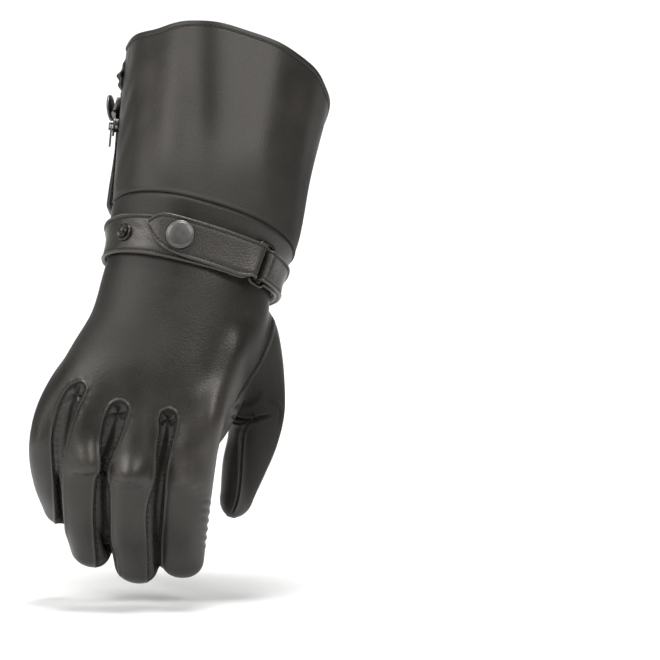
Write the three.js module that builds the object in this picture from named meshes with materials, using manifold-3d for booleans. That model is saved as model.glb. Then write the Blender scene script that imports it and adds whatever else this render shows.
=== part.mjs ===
// A black leather gauntlet glove for the right hand, hollow and filled out as a hand wears it.
// The fingers hang down, the wide cuff opens upwards, and the back of the hand faces -Y.
// The little finger is at -X and the thumb at +X. Lengths are millimetres, and angles degrees.
// The origin is the middle of the wrist, where a forearm would hold the glove up.

import * as THREE from "three";
import { mergeVertices } from "three/addons/utils/BufferGeometryUtils.js";
import Module from "manifold-3d";

const wasm = await Module();
wasm.setup();

// Driving dimensions
const HAND_WALL = 1.6; // glove leather
const CUFF_WALL = 2.2; // cuff leather with its lining
const SEAM_GAP = 0.3; // between two sewn pieces
const CUFF_HEIGHT = 99; // wrist seam to rim, along the arm
const HEM = { height: 3, proud: 0.5, step: 0.4 }; // turned edge of the rim
const OUTER = { bodySides: 26, fingerSides: 12, thumbSides: 14, fingerRows: 8, thumbRows: 9 };
const INNER = { bodySides: 18, fingerSides: 8, thumbSides: 10, fingerRows: 6, thumbRows: 6 };
const ROUNDNESS = 2.25; // power of the rounded sections: 2 is an ellipse
const FINGER_SLOPE = 8; // how far the fingers' sections dip towards the thumb
const TIP = { length: 12, steps: 3, turn: 1.4 }; // a digit's rounded end, turned this many radians
const STRAP_THICK = 1.8;
const SNAP = { radius: 7.4, height: 2.4 };
const STUD = { radius: 4.6, base: 0.9, neck: 1.2, ball: 1.9, height: 3.4 };
const SEAT = 0.6; // clearance under a cap or stud, as the strap below it is curved
const RIVET_SIDES = 14;
const RING = { bar: 2.2, corner: 2.4, bevel: 0.55 };
const ZIP = { from: 3, to: 51, tapeHalf: 3.2, tapeThick: 0.6, chainHalf: 2.5, chainThick: 1.9 };
const TOOTH = { pitch: 3.7, dip: 0.6 };
const SLIDER = { degrees: 182, along: 51, lift: 1.5, half: 4.1, end: 4.75, plate: 1.2, wall: 1.1, skirt: 2.1 };
const BAIL = { half: 0.65, bar: 0.7, reach: 2.2, clear: 1.6 }; // arch on the slider that holds the pull
const PULL = { wide: 4.6, long: 13, thick: 1, corner: 1.4, slotWide: 2.1, slotLong: 2.7, slotCorner: 0.3 };
const GUSSET = { from: 58, deep: 8, thick: 1.2, sunk: 0.4, low: [177, 187], high: [174.5, 189.5] };

// The arm and hand, cut in sections. along: distance from the wrist seam, up the cuff or down the hand.
// slope: how far the section dips towards the thumb. lean: how far its back edge is tipped up.
// arch: how far its two ends bend towards the palm.
const BODY = [
  { along: -112, x: -38, y: -39.5, z: -104.8, wide: 79, deep: 28, slope: 17.5, lean: 48, arch: 2 },
  { along: -104, x: -35, y: -37.8, z: -97.2, wide: 87, deep: 33, slope: 18, lean: 39, arch: 3 },
  { along: -92, x: -28.5, y: -34.8, z: -85.1, wide: 93.5, deep: 37.4, slope: 18, lean: 30, arch: 4 },
  { along: -76, x: -20.5, y: -29.5, z: -70, wide: 93.5, deep: 40.5, slope: 18, lean: 25, arch: 4 },
  { along: -57, x: -12, y: -22, z: -52, wide: 90, deep: 45, slope: 17, lean: 23, arch: 3 },
  { along: -36.5, x: -6.5, y: -14, z: -33, wide: 90, deep: 52, slope: 16, lean: 23, arch: 1 },
  { along: -18, x: -3, y: -6.5, z: -14.5, wide: 88, deep: 59, slope: 16, lean: 24, arch: 0 },
  { along: -7, x: -1, y: -2, z: -4, wide: 93.5, deep: 65, slope: 16, lean: 25, arch: 0 },
  { along: 0, x: 3, y: 0, z: 3, wide: 100, deep: 69, slope: 16, lean: 26, arch: 0 },
  { along: 52, x: 9.2, y: 26, z: 47.5, wide: 107.8, deep: 87, slope: 16.5, lean: 28, arch: 0 },
  { along: 103, x: 16.9, y: 51.5, z: 91.5, wide: 118, deep: 104, slope: 17, lean: 29, arch: 0 },
  { along: 118, x: 19.2, y: 59, z: 104.6, wide: 122, deep: 109, slope: 17, lean: 29, arch: 0 },
];

// Each finger's centre line from inside the hand to its tip. turn: how far the back of the finger is
// turned towards the little finger.
const DIGITS = {
  index: [
    { x: 4, y: -29, z: -70, wide: 23, deep: 21, turn: 0 },
    { x: 0.8, y: -38.6, z: -88, wide: 27.2, deep: 26, turn: 0 },
    { x: -2.6, y: -42, z: -105, wide: 27.4, deep: 26, turn: 0 },
    { x: -5.2, y: -40.5, z: -125.5, wide: 26.8, deep: 24.5, turn: -2 },
    { x: -7, y: -30, z: -147.5, wide: 25.4, deep: 21.5, turn: -4 },
    { x: -7.8, y: -12, z: -168.5, wide: 23.2, deep: 17, turn: -5 },
  ],
  middle: [
    { x: -25.8, y: -30, z: -72, wide: 22, deep: 20, turn: 0 },
    { x: -28.2, y: -40, z: -89, wide: 26.2, deep: 26, turn: 2 },
    { x: -30.6, y: -43.5, z: -106, wide: 27.2, deep: 26, turn: 2 },
    { x: -32.4, y: -42, z: -126, wide: 27, deep: 24.5, turn: 4 },
    { x: -33, y: -31.5, z: -149, wide: 26, deep: 22, turn: 8 },
    { x: -31.8, y: -13.5, z: -171, wide: 23.6, deep: 17.5, turn: 12 },
  ],
  ring: [
    { x: -48.4, y: -28, z: -65, wide: 20, deep: 20, turn: 4 },
    { x: -53.2, y: -38, z: -84, wide: 24.2, deep: 25, turn: 8 },
    { x: -57.2, y: -41, z: -101, wide: 25.2, deep: 25, turn: 10 },
    { x: -59, y: -39, z: -119.5, wide: 25.6, deep: 23.5, turn: 12 },
    { x: -58.6, y: -28.5, z: -142, wide: 24.6, deep: 21, turn: 16 },
    { x: -55.8, y: -11, z: -163, wide: 22.2, deep: 17, turn: 20 },
  ],
  little: [
    { x: -57.5, y: -21, z: -59, wide: 12, deep: 14, turn: 14 },
    { x: -66.4, y: -28, z: -76, wide: 18.8, deep: 20, turn: 20 },
    { x: -74, y: -30, z: -93, wide: 20.2, deep: 20.5, turn: 24 },
    { x: -77.2, y: -26.5, z: -110, wide: 19.8, deep: 19.5, turn: 28 },
    { x: -76.4, y: -16.5, z: -127, wide: 18.4, deep: 17.5, turn: 32 },
    { x: -73.6, y: -3.5, z: -142, wide: 16.2, deep: 14, turn: 36 },
  ],
};
const THUMB = [
  { x: 18, y: -3, z: -28, wide: 23, deep: 21, turn: -45 },
  { x: 21.5, y: -3.2, z: -48, wide: 39, deep: 38.5, turn: -48 },
  { x: 26.8, y: -2.6, z: -70, wide: 38, deep: 37, turn: -52 },
  { x: 31, y: -1.2, z: -91.5, wide: 31, deep: 30, turn: -55 },
  { x: 29.8, y: 0, z: -105.5, wide: 27, deep: 26, turn: -58 },
  { x: 25.4, y: 2, z: -120.5, wide: 24.5, deep: 23, turn: -60 },
  { x: 21.3, y: 4, z: -137, wide: 19.5, deep: 17, turn: -62 },
];
// The three side strips between the fingers, and where they start and end along the two fingers' centre
// lines, with their depth at root and tip.
const FOURCHETTES = [
  { name: "fourchette_little_ring", low: "little", high: "ring" },
  { name: "fourchette_ring_middle", low: "ring", high: "middle" },
  { name: "fourchette_middle_index", low: "middle", high: "index" },
];
const FOURCHETTE = { from: 0.12, to: 0.97, rootDeep: 15, tipDeep: 8 };

// The back and the palm of the hand meet in a sheet: across the body at stations along it, at distances from
// its middle, then through the four fingers' centre lines at shares of them, and past the outer two.
const HALVES = {
  stations: [8, -18, -38, -57],
  across: [-80, -48, -36, -13, 17, 80],
  shares: [0.2, 0.4, 0.6, 0.8, 1],
  past: 30,
  beyond: 18,
  thick: 60,
};
// The thumb is cut from front to back through its centre line, where its seam is. along: the cut's direction.
// out: the side of its outer half.
const THUMB_CUT = { along: [-0.2, -0.98, 0], out: [0.98, -0.2, 0], half: 40, beyond: 22, thick: 60, shares: 6 };

// How much higher than a flat cut the rim is, at degrees round the arm from the thumb's edge.
const RIM = [
  { degrees: -60, rise: 1 },
  { degrees: 0, rise: -2 },
  { degrees: 45, rise: -0.5 },
  { degrees: 90, rise: 0.5 },
  { degrees: 115, rise: -1.5 },
  { degrees: 138, rise: -5 },
  { degrees: 165, rise: -2.5 },
  { degrees: 200, rise: 0 },
  { degrees: 300, rise: 1 },
  { degrees: 360, rise: -2 },
  { degrees: 405, rise: -0.5 },
];

const radians = THREE.MathUtils.degToRad;
const { lerp, clamp } = THREE.MathUtils;
const vector = (x, y, z) => new THREE.Vector3(x, y, z);

// The row of a table at a given value of its first column, on a smooth curve through the rows.
function rowAt(table, key, value) {
  const last = table.length - 1;
  let i = table.findIndex((row) => row[key] > value) - 1;
  if (i === -2) i = last - 1;
  i = clamp(i, 0, last - 1);
  const [before, from, to, after] = [i - 1, i, i + 1, i + 2].map((k) => table[clamp(k, 0, last)]);
  const span = to[key] - from[key];
  const t = (value - from[key]) / span;
  const made = {};
  for (const name of Object.keys(from)) {
    const slope = (a, b) => (b[key] === a[key] ? 0 : (b[name] - a[name]) / (b[key] - a[key]));
    const [m0, m1] = [slope(before, to) * span, slope(from, after) * span];
    const [t2, t3] = [t * t, t * t * t];
    made[name] =
      from[name] * (2 * t3 - 3 * t2 + 1) +
      m0 * (t3 - 2 * t2 + t) +
      to[name] * (3 * t2 - 2 * t3) +
      m1 * (t3 - t2);
  }
  return made;
}

// A point of a rounded section, with its angle counted from the thumb side over the back of the hand.
function roundedPoint(angle, wide, deep) {
  const bend = (value) => Math.sign(value) * Math.abs(value) ** (2 / ROUNDNESS);
  return { u: (wide / 2) * bend(Math.cos(angle)), v: (deep / 2) * bend(Math.sin(angle)) };
}

// The directions of a body section: across it towards the thumb, and out of the back of the hand.
const sectionAxes = (slope, lean) => ({
  across: vector(Math.cos(slope), 0, -Math.sin(slope)),
  back: vector(Math.sin(slope) * Math.sin(lean), -Math.cos(lean), Math.cos(slope) * Math.sin(lean)),
});

// The body's surface at degrees round the section and millimetres along the arm: a point, and the three
// directions there (around towards the little finger, up the arm, and out of the surface).
function surfaceFrame(degrees, along) {
  const surface = (turn, station) => {
    const row = rowAt(BODY, "along", station);
    const [slope, lean, angle] = [radians(row.slope), radians(row.lean), radians(turn)];
    const { u, v } = roundedPoint(angle, row.wide, row.deep);
    const { across, back } = sectionAxes(slope, lean);
    return vector(row.x, row.y, row.z)
      .addScaledVector(across, u)
      .addScaledVector(back, v - row.arch * Math.cos(angle) ** 2);
  };
  const around = surface(degrees + 1, along).sub(surface(degrees - 1, along));
  const rising = surface(degrees, along + 1).sub(surface(degrees, along - 1));
  const perDegree = around.length() / 2;
  const out = rising.cross(around).normalize();
  around.normalize();
  return { point: surface(degrees, along), around, up: around.clone().cross(out), out, perDegree };
}

function bodyPoint(degrees, along, lift = 0) {
  const { point, out } = surfaceFrame(degrees, along);
  return point.addScaledVector(out, lift);
}

// Solids

// A closed solid from a list of rings of points, with a fan over each end.
function skin(rings) {
  const sides = rings[0].length;
  const points = rings.flat();
  const faces = [];
  for (let r = 0; r + 1 < rings.length; r++)
    for (let i = 0; i < sides; i++) {
      const [a, b] = [r * sides + i, r * sides + ((i + 1) % sides)];
      faces.push([a, b, b + sides], [a, b + sides, a + sides]);
    }
  for (const [first, turned] of [[0, false], [(rings.length - 1) * sides, true]]) {
    const middle = points.slice(first, first + sides).reduce((sum, p) => sum.add(p), vector(0, 0, 0));
    points.push(middle.divideScalar(sides));
    for (let i = 0; i < sides; i++) {
      const face = [first + ((i + 1) % sides), first + i, points.length - 1];
      faces.push(turned ? face.reverse() : face);
    }
  }
  return facingOut(geometryOf(points, faces));
}

// A sheet with a thickness, from a grid of points on its outer face and one on its inner face.
function sheet(across, along, outer, inner) {
  const points = [];
  for (const face of [outer, inner])
    for (let j = 0; j <= along; j++)
      for (let i = 0; i <= across; i++) points.push(face(i / across, j / along));
  const row = across + 1;
  const far = row * (along + 1);
  const faces = [];
  const quad = (a, b, c, d) => faces.push([a, b, c], [a, c, d]);
  for (let j = 0; j < along; j++)
    for (let i = 0; i < across; i++) {
      const a = j * row + i;
      quad(a, a + 1, a + row + 1, a + row);
      quad(far + a, far + a + row, far + a + row + 1, far + a + 1);
    }
  for (let i = 0; i < across; i++) {
    const top = along * row + i;
    quad(i + 1, i, far + i, far + i + 1);
    quad(top, top + 1, far + top + 1, far + top);
  }
  for (let j = 0; j < along; j++) {
    const [a, b] = [j * row, j * row + across];
    quad(a, a + row, far + a + row, far + a);
    quad(b + row, b, far + b, far + b + row);
  }
  return facingOut(geometryOf(points, faces));
}

function geometryOf(points, faces) {
  const geometry = new THREE.BufferGeometry().setFromPoints(points);
  geometry.setIndex(faces.flat());
  return geometry;
}

// Turns a closed geometry's faces round if they point inwards.
function facingOut(geometry) {
  const { array } = geometry.attributes.position;
  const index = geometry.index.array;
  const corner = (k) => vector(array[3 * k], array[3 * k + 1], array[3 * k + 2]);
  let volume = 0;
  for (let i = 0; i < index.length; i += 3)
    volume += corner(index[i]).dot(corner(index[i + 1]).cross(corner(index[i + 2])));
  if (volume < 0)
    for (let i = 0; i < index.length; i += 3) [index[i], index[i + 1]] = [index[i + 1], index[i]];
  return geometry;
}

function solidOf(geometry) {
  const bare = new THREE.BufferGeometry();
  bare.setAttribute("position", geometry.attributes.position.clone());
  if (geometry.index) bare.setIndex(geometry.index.clone());
  const merged = mergeVertices(bare, 1e-4);
  return new wasm.Manifold(
    new wasm.Mesh({
      numProp: 3,
      vertProperties: merged.attributes.position.array,
      triVerts: new Uint32Array(merged.index.array),
    }),
  );
}

function geometryFrom(solid) {
  const mesh = solid.getMesh();
  const geometry = new THREE.BufferGeometry();
  const { numProp, vertProperties, numVert } = mesh;
  const places = new Float32Array(numVert * 3);
  for (let i = 0; i < numVert; i++)
    places.set(vertProperties.subarray(i * numProp, i * numProp + 3), i * 3);
  geometry.setAttribute("position", new THREE.BufferAttribute(places, 3));
  geometry.setIndex(new THREE.BufferAttribute(mesh.triVerts, 1));
  return geometry;
}

// The main body of a cut solid, without the slivers that a cut can leave.
const SLIVER = 0.06;
function largest(solid) {
  const bodies = solid.simplify(SLIVER).decompose();
  return bodies.reduce((best, body) => (body.volume() > best.volume() ? body : best));
}

// Materials
const leather = (name, colour, roughness) =>
  new THREE.MeshStandardMaterial({ name, color: colour, roughness, metalness: 0 });
const metal = (name, colour, roughness) =>
  new THREE.MeshStandardMaterial({ name, color: colour, roughness, metalness: 1 });
const MATERIALS = {
  hand: leather("hand_leather", 0x2b2927, 0.42),
  side: leather("side_leather", 0x232120, 0.5),
  cuff: leather("cuff_leather", 0x302e2b, 0.5),
  strap: leather("strap_leather", 0x2a2826, 0.46),
  tape: leather("zip_tape", 0x161616, 0.9),
  nickel: metal("snap_nickel", 0xa8a6a2, 0.28),
  black: metal("black_metal", 0x2c2b29, 0.4),
};

const glove = new THREE.Group();
function addPiece(name, geometry, material) {
  const mesh = new THREE.Mesh(geometry, MATERIALS[material]);
  mesh.name = name;
  glove.add(mesh);
}

// The hand

const centreLine = (table) => new THREE.CatmullRomCurve3(table.map((row) => vector(row.x, row.y, row.z)));

// Rings of a digit from its table, thinned by a wall, with a rounded tip.
function digitRings(table, sides, stations, wall) {
  const line = centreLine(table);
  const rows = table.map((row, i) => ({ ...row, at: i / (table.length - 1) }));
  const rings = [];
  for (let k = 0; k < stations + TIP.steps; k++) {
    const share = Math.min(k / (stations - 1), 1);
    const row = rowAt(rows, "at", share);
    const dome = (TIP.turn * Math.max(k - stations + 1, 0)) / TIP.steps;
    const tangent = line.getTangent(share);
    const centre = line.getPoint(share).addScaledVector(tangent, (TIP.length - wall) * Math.sin(dome));
    const [turn, slope] = [radians(row.turn), radians(FINGER_SLOPE)];
    const across = vector(Math.cos(turn) * Math.cos(slope), -Math.sin(turn), -Math.sin(slope));
    across.addScaledVector(tangent, -across.dot(tangent)).normalize();
    const back = tangent.clone().cross(across).normalize();
    const shrink = Math.cos(dome);
    rings.push(
      Array.from({ length: sides }, (_, i) => {
        const angle = (2 * Math.PI * i) / sides;
        const { u, v } = roundedPoint(angle, (row.wide - 2 * wall) * shrink, (row.deep - 2 * wall) * shrink);
        return centre.clone().addScaledVector(across, u).addScaledVector(back, v);
      }),
    );
  }
  return rings;
}

// Rings of the hand's body, thinned by a wall. The inner ones go on past the wrist, to open it.
const PALM_STATIONS = [-112, -107, -99, -88, -74, -59, -44, -30, -18, -8, -SEAM_GAP];
const INNER_STATIONS = [-112, -104, -90, -72, -54, -36, -18, -7, HAND_WALL];
function palmRings(sides, stations, wall) {
  return stations.map((station) =>
    Array.from({ length: sides }, (_, i) => bodyPoint((360 * i) / sides, station, -wall)),
  );
}

// The hand without the thumb, and the thumb, as full solids thinned by a wall.
function handSolid(wall) {
  const inner = wall > 0;
  const { bodySides, fingerSides, fingerRows } = inner ? INNER : OUTER;
  const body = solidOf(skin(palmRings(bodySides, inner ? INNER_STATIONS : PALM_STATIONS, wall)));
  const finger = (table) => solidOf(skin(digitRings(table, fingerSides, fingerRows, wall)));
  return Object.values(DIGITS).reduce((sum, table) => sum.add(finger(table)), body);
}
function thumbSolid(wall) {
  const { thumbSides, thumbRows } = wall > 0 ? INNER : OUTER;
  return solidOf(skin(digitRings(THUMB, thumbSides, thumbRows, wall)));
}

// A slab between the centre lines of two neighbouring fingers, which takes their facing sides and the crotch.
// It is grown by the gap, and by twice that lengthways, where its end meets the leather at a slant.
function fourchetteCutter({ low, high }, gap) {
  const [lowLine, highLine] = [centreLine(DIGITS[low]), centreLine(DIGITS[high])];
  const more = (2 * gap) / lowLine.getLength();
  const stations = 6;
  const rings = [];
  for (let k = 0; k < stations; k++) {
    const share = lerp(FOURCHETTE.from - more, FOURCHETTE.to + more, k / (stations - 1));
    const [a, b] = [lowLine.getPoint(share), highLine.getPoint(share)];
    const across = b.clone().sub(a).normalize();
    const tangent = lowLine.getTangent(share).add(highLine.getTangent(share)).normalize();
    const back = tangent.clone().cross(across).normalize();
    const half = lerp(FOURCHETTE.rootDeep, FOURCHETTE.tipDeep, k / (stations - 1)) / 2 + gap;
    rings.push([
      b.clone().addScaledVector(back, half),
      a.clone().addScaledVector(back, half),
      a.clone().addScaledVector(back, -half),
      b.clone().addScaledVector(back, -half),
    ]);
  }
  return solidOf(skin(rings));
}

// Everything on the back's side of the sheet where the back of the hand and the palm meet, grown by a gap.
function backSide(gap) {
  const rows = HALVES.stations.map((station) => {
    const { x, y, z, slope, lean } = rowAt(BODY, "along", station);
    const { across, back } = sectionAxes(radians(slope), radians(lean));
    return { back, points: HALVES.across.map((u) => vector(x, y, z).addScaledVector(across, u)) };
  });
  const lines = [DIGITS.little, DIGITS.ring, DIGITS.middle, DIGITS.index].map(centreLine);
  const fingerRow = (share, beyond) => {
    const points = lines.map((line) => line.getPoint(share).addScaledVector(line.getTangent(share), beyond));
    const across = points[3].clone().sub(points[0]).normalize();
    const tangent = lines.reduce((sum, line) => sum.add(line.getTangent(share)), vector(0, 0, 0));
    const outer = [[points[0], -HALVES.past], [points[3], HALVES.past]].map(([point, reach]) =>
      point.clone().addScaledVector(across, reach),
    );
    return { back: tangent.cross(across).normalize(), points: [outer[0], ...points, outer[1]] };
  };
  rows.push(...HALVES.shares.map((share) => fingerRow(share, 0)), fingerRow(1, HALVES.beyond));
  const rings = rows.map(({ back, points }) => {
    const far = points.map((point) => point.clone().addScaledVector(back, HALVES.thick));
    return [...points.map((point) => point.clone().addScaledVector(back, -gap)), ...far.reverse()];
  });
  return solidOf(skin(rings));
}

// Everything on the outer side of the thumb's cut, grown by a gap.
function thumbOuterSide(gap) {
  const line = centreLine(THUMB);
  const [along, out] = [vector(...THUMB_CUT.along), vector(...THUMB_CUT.out)];
  const { half, beyond, thick, shares } = THUMB_CUT;
  const rings = [];
  for (let k = -1; k <= shares + 1; k++) {
    const share = clamp(k / shares, 0, 1);
    const reach = beyond * (k / shares - share) * shares;
    const centre = line.getPoint(share).addScaledVector(line.getTangent(share), reach);
    const corner = (side, lift) => centre.clone().addScaledVector(along, side * half).addScaledVector(out, lift);
    rings.push([corner(-1, -gap), corner(1, -gap), corner(1, thick), corner(-1, thick)]);
  }
  return solidOf(skin(rings));
}

const hollow = handSolid(HAND_WALL).add(thumbSolid(HAND_WALL));
let hand = handSolid(0).subtract(hollow);
for (const strip of FOURCHETTES) {
  const taken = hand.intersect(fourchetteCutter(strip, 0));
  addPiece(strip.name, geometryFrom(largest(taken)), "side");
  hand = hand.subtract(fourchetteCutter(strip, 1.3 * SEAM_GAP));
}
addPiece("hand_back", geometryFrom(largest(hand.intersect(backSide(0)))), "hand");
addPiece("hand_palm", geometryFrom(largest(hand.subtract(backSide(SEAM_GAP)))), "hand");
const thumb = thumbSolid(0).subtract(hollow).subtract(handSolid(-1.1 * SEAM_GAP));
addPiece("thumb_outer", geometryFrom(largest(thumb.intersect(thumbOuterSide(0)))), "hand");
addPiece("thumb_inner", geometryFrom(largest(thumb.subtract(thumbOuterSide(SEAM_GAP)))), "hand");

// The cuff

// Its panels: the degrees where each one starts and ends at the wrist (low) and at the rim (high).
const CUFF = [
  { name: "cuff_back", low: [0.35, 170], high: [0.3, 165], across: 18, material: "cuff" },
  { name: "side_back", low: [170.5, 176.5], high: [165.4, 174], across: 2, material: "side" },
  { name: "side_palm", low: [187.5, 197.95], high: [190, 218.45], across: 3, material: "side" },
  { name: "cuff_palm", low: [198.6, 359.65], high: [219, 359.7], across: 16, material: "cuff" },
];
const PANEL_ROWS = 5; // from the wrist seam to the turned edge

// How far up the arm the rim is, at degrees round it.
const rimAt = (degrees) => CUFF_HEIGHT + rowAt(RIM, "degrees", degrees).rise;

function cuffPanel({ low, high, across }) {
  const rows = PANEL_ROWS + 2;
  const face = (inner) => (i, j) => {
    const row = Math.round(j * rows);
    const share = Math.min(row / PANEL_ROWS, 1);
    const degrees = lerp(lerp(low[0], low[1], i), lerp(high[0], high[1], i), share);
    const hemLow = rimAt(degrees) - HEM.height;
    const edge = [hemLow + HEM.step, hemLow + HEM.height][row - PANEL_ROWS - 1];
    const along = edge ?? lerp(SEAM_GAP, hemLow, share);
    const outer = row > PANEL_ROWS ? HEM.proud : 0;
    return bodyPoint(degrees, along, inner ? -CUFF_WALL : outer);
  };
  return sheet(across, rows, face(false), face(true));
}
for (const panel of CUFF) addPiece(panel.name, cuffPanel(panel), panel.material);

// A fold of soft leather that closes the notch above the zip, deeper towards the rim.
function gussetPoint(i, j, thick) {
  const degrees = lerp(lerp(...GUSSET.low, i), lerp(...GUSSET.high, i), j);
  const top = rimAt(degrees) - 2 * HEM.height;
  const fold = GUSSET.deep * Math.sin(Math.PI * i) * lerp(0.3, 1, j);
  return bodyPoint(degrees, lerp(GUSSET.from, top, j), -GUSSET.sunk - fold - thick);
}
const gussetOuter = (i, j) => gussetPoint(i, j, 0);
const gussetInner = (i, j) => gussetPoint(i, j, GUSSET.thick);
addPiece("cuff_gusset", sheet(6, 4, gussetOuter, gussetInner), "side");

// The zip

// A straight strip up the zip's line, between two lifts. dip: how far its outer face sinks at a row.
function zipStrip({ half, from, to, low, high, rows, dip = () => 0 }) {
  const point = (i, j, lift) => {
    const place = surfaceFrame(SLIDER.degrees, lerp(from, to, j));
    return place.point.addScaledVector(place.around, (2 * i - 1) * half).addScaledVector(place.out, lift);
  };
  const outer = (i, j) => point(i, j, high - dip(Math.round(j * rows)));
  return sheet(1, rows, outer, (i, j) => point(i, j, low));
}
const tapeTop = -CUFF_WALL / 2;
const tape = {
  half: ZIP.tapeHalf,
  from: ZIP.from,
  to: GUSSET.from - 1,
  low: tapeTop - ZIP.tapeThick,
  high: tapeTop,
  rows: 8,
};
addPiece("zip_tape", zipStrip(tape), "tape");
const chain = {
  half: ZIP.chainHalf,
  from: ZIP.from + 1,
  to: ZIP.to,
  low: tapeTop + 1.1 * SEAM_GAP,
  high: tapeTop + 1.1 * SEAM_GAP + ZIP.chainThick,
  rows: 4 * Math.round((ZIP.to - ZIP.from) / TOOTH.pitch),
  dip: (row) => (row % 4 < 2 ? 0 : TOOTH.dip),
};
addPiece("zip_chain", zipStrip(chain), "black");

// Puts a geometry on the body's surface: its x towards the thumb's edge, its y up the arm and its z outwards.
function onSurface(geometry, { degrees, along, lift = 0 }) {
  const { point, around, up, out } = surfaceFrame(degrees, along);
  geometry.applyMatrix4(new THREE.Matrix4().makeBasis(around.negate(), up, out));
  point.addScaledVector(out, lift);
  return geometry.translate(point.x, point.y, point.z);
}

// A flat plate of a shape, from z = 0 up.
const plate = (shape, thick) =>
  new THREE.ExtrudeGeometry(shape, { depth: thick, bevelEnabled: false, curveSegments: 2 });

// A box between two values of each of x, y and z, as a solid.
function block([x0, x1], [y0, y1], [z0, z1]) {
  const box = new THREE.BoxGeometry(x1 - x0, y1 - y0, z1 - z0);
  return solidOf(box.translate((x0 + x1) / 2, (y0 + y1) / 2, (z0 + z1) / 2));
}

// A rectangle with rounded corners, centred, as a Shape or as a hole's Path.
function rounded(Kind, wide, tall, corner) {
  const [x, y] = [wide / 2 - corner, tall / 2 - corner];
  const path = new Kind();
  const corners = [
    [x, y, 0],
    [-x, y, 90],
    [-x, -y, 180],
    [x, -y, 270],
  ];
  for (const [cx, cy, turn] of corners)
    path.absarc(cx, cy, corner, radians(turn), radians(turn + 90));
  path.closePath();
  return path;
}

// The slider: a plate with a wall down each side of the chain, and an arch on top.
const JOIN = 0.1; // overlap of two joined blocks
const length = [-SLIDER.end, SLIDER.end];
const archLow = SLIDER.plate + BAIL.clear;
const postRise = [SLIDER.plate - JOIN, archLow + JOIN];
const sliderBlocks = [
  block([-SLIDER.half, SLIDER.half], length, [0, SLIDER.plate]),
  block([-SLIDER.half, SLIDER.wall - SLIDER.half], length, [-SLIDER.skirt, JOIN]),
  block([SLIDER.half - SLIDER.wall, SLIDER.half], length, [-SLIDER.skirt, JOIN]),
  block([-BAIL.half, BAIL.half], [-BAIL.reach, BAIL.bar - BAIL.reach], postRise),
  block([-BAIL.half, BAIL.half], [BAIL.reach - BAIL.bar, BAIL.reach], postRise),
  block([-BAIL.half, BAIL.half], [-BAIL.reach, BAIL.reach], [archLow, archLow + BAIL.bar]),
];
const slider = sliderBlocks.reduce((sum, part) => sum.add(part));
addPiece("zip_slider", onSurface(geometryFrom(slider), SLIDER), "black");

// The pull hangs down the cuff. Its top bar runs through the arch, and swings on the middle of that bar.
const pullPlate = plate(rounded(THREE.Shape, PULL.wide, PULL.long, PULL.corner), PULL.thick);
const slotPlate = plate(rounded(THREE.Shape, PULL.slotWide, PULL.slotLong, PULL.slotCorner), 3 * PULL.thick);
const topBar = PULL.thick / 2;
const pull = solidOf(pullPlate.translate(0, topBar - PULL.long / 2, 0)).subtract(
  solidOf(slotPlate.translate(0, -topBar - PULL.slotLong / 2, -PULL.thick)),
);
const pullLift = SLIDER.lift + SLIDER.plate + 1.1 * SEAM_GAP;
addPiece("zip_pull", onSurface(geometryFrom(pull), { ...SLIDER, lift: pullLift }), "black");

// Straps

// A strap's cross line at a place on the body: three points over its width. tilt: the turn of its width away
// from straight up the arm.
const ACROSS = [-1, 0, 1];
function crossLine({ degrees, along, lift, half, tilt = 0 }) {
  const { perDegree } = surfaceFrame(degrees, along);
  return ACROSS.map((side) => {
    const shift = (side * half * Math.sin(radians(tilt))) / perDegree;
    return bodyPoint(degrees + shift, along + side * half * Math.cos(radians(tilt)), lift);
  });
}

// A flat strap through a list of cross lines.
function strapGeometry(lines, perLine = 2) {
  const rails = ACROSS.map((side, k) => new THREE.CatmullRomCurve3(lines.map((line) => line[k])));
  for (const rail of rails) rail.curveType = "catmullrom";
  const face = (offset) => (i, j) => {
    const rail = rails[Math.round(2 * j)];
    const width = rails[2].getPoint(i).sub(rails[0].getPoint(i));
    const out = rail.getTangent(i).cross(width).normalize();
    return rail.getPoint(i).addScaledVector(out, offset);
  };
  return sheet(perLine * (lines.length - 1), 2, face(-STRAP_THICK / 2), face(STRAP_THICK / 2));
}

const FOLD = RING.bar / 2 + 0.8 + STRAP_THICK / 2; // radius of a strap's half turn round a ring's bar
const UNDER = 1.1 + STRAP_THICK / 2; // lift of a strap that lies on the glove
const OVER = UNDER + STRAP_THICK + SEAM_GAP; // and of one that lies on such a strap

// A rectangular ring that floats over the body on the straps through it. apart: between its two bars.
function ringGeometry({ apart, tall, ...place }) {
  const outline = rounded(THREE.Shape, apart + RING.bar, tall, RING.corner);
  outline.holes.push(rounded(THREE.Path, apart - RING.bar, tall - 2 * RING.bar, RING.corner / 2));
  const ring = new THREE.ExtrudeGeometry(outline, {
    depth: RING.bar - 2 * RING.bevel,
    bevelSize: RING.bevel,
    bevelThickness: RING.bevel,
    bevelOffset: -RING.bevel,
    bevelSegments: 1,
    curveSegments: 2,
  });
  ring.translate(0, 0, RING.bevel - RING.bar / 2);
  return onSurface(ring, { ...place, lift: UNDER + FOLD });
}

// The cross lines of a strap's half turn round one of a ring's bars, from under the bar to over it.
// side: 1 for the bar that is nearer the thumb's edge of the glove, and -1 for the other.
function foldLines({ degrees, along, apart }, side, half) {
  const { point, around, up, out } = surfaceFrame(degrees, along);
  return [-90, -45, 0, 45, 90].map((turn) => {
    const inward = apart / 2 - FOLD * Math.cos(radians(turn));
    const centre = point
      .clone()
      .addScaledVector(around, -side * inward)
      .addScaledVector(out, UNDER + FOLD + FOLD * Math.sin(radians(turn)));
    return ACROSS.map((reach) => centre.clone().addScaledVector(up, reach * half));
  });
}

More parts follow.
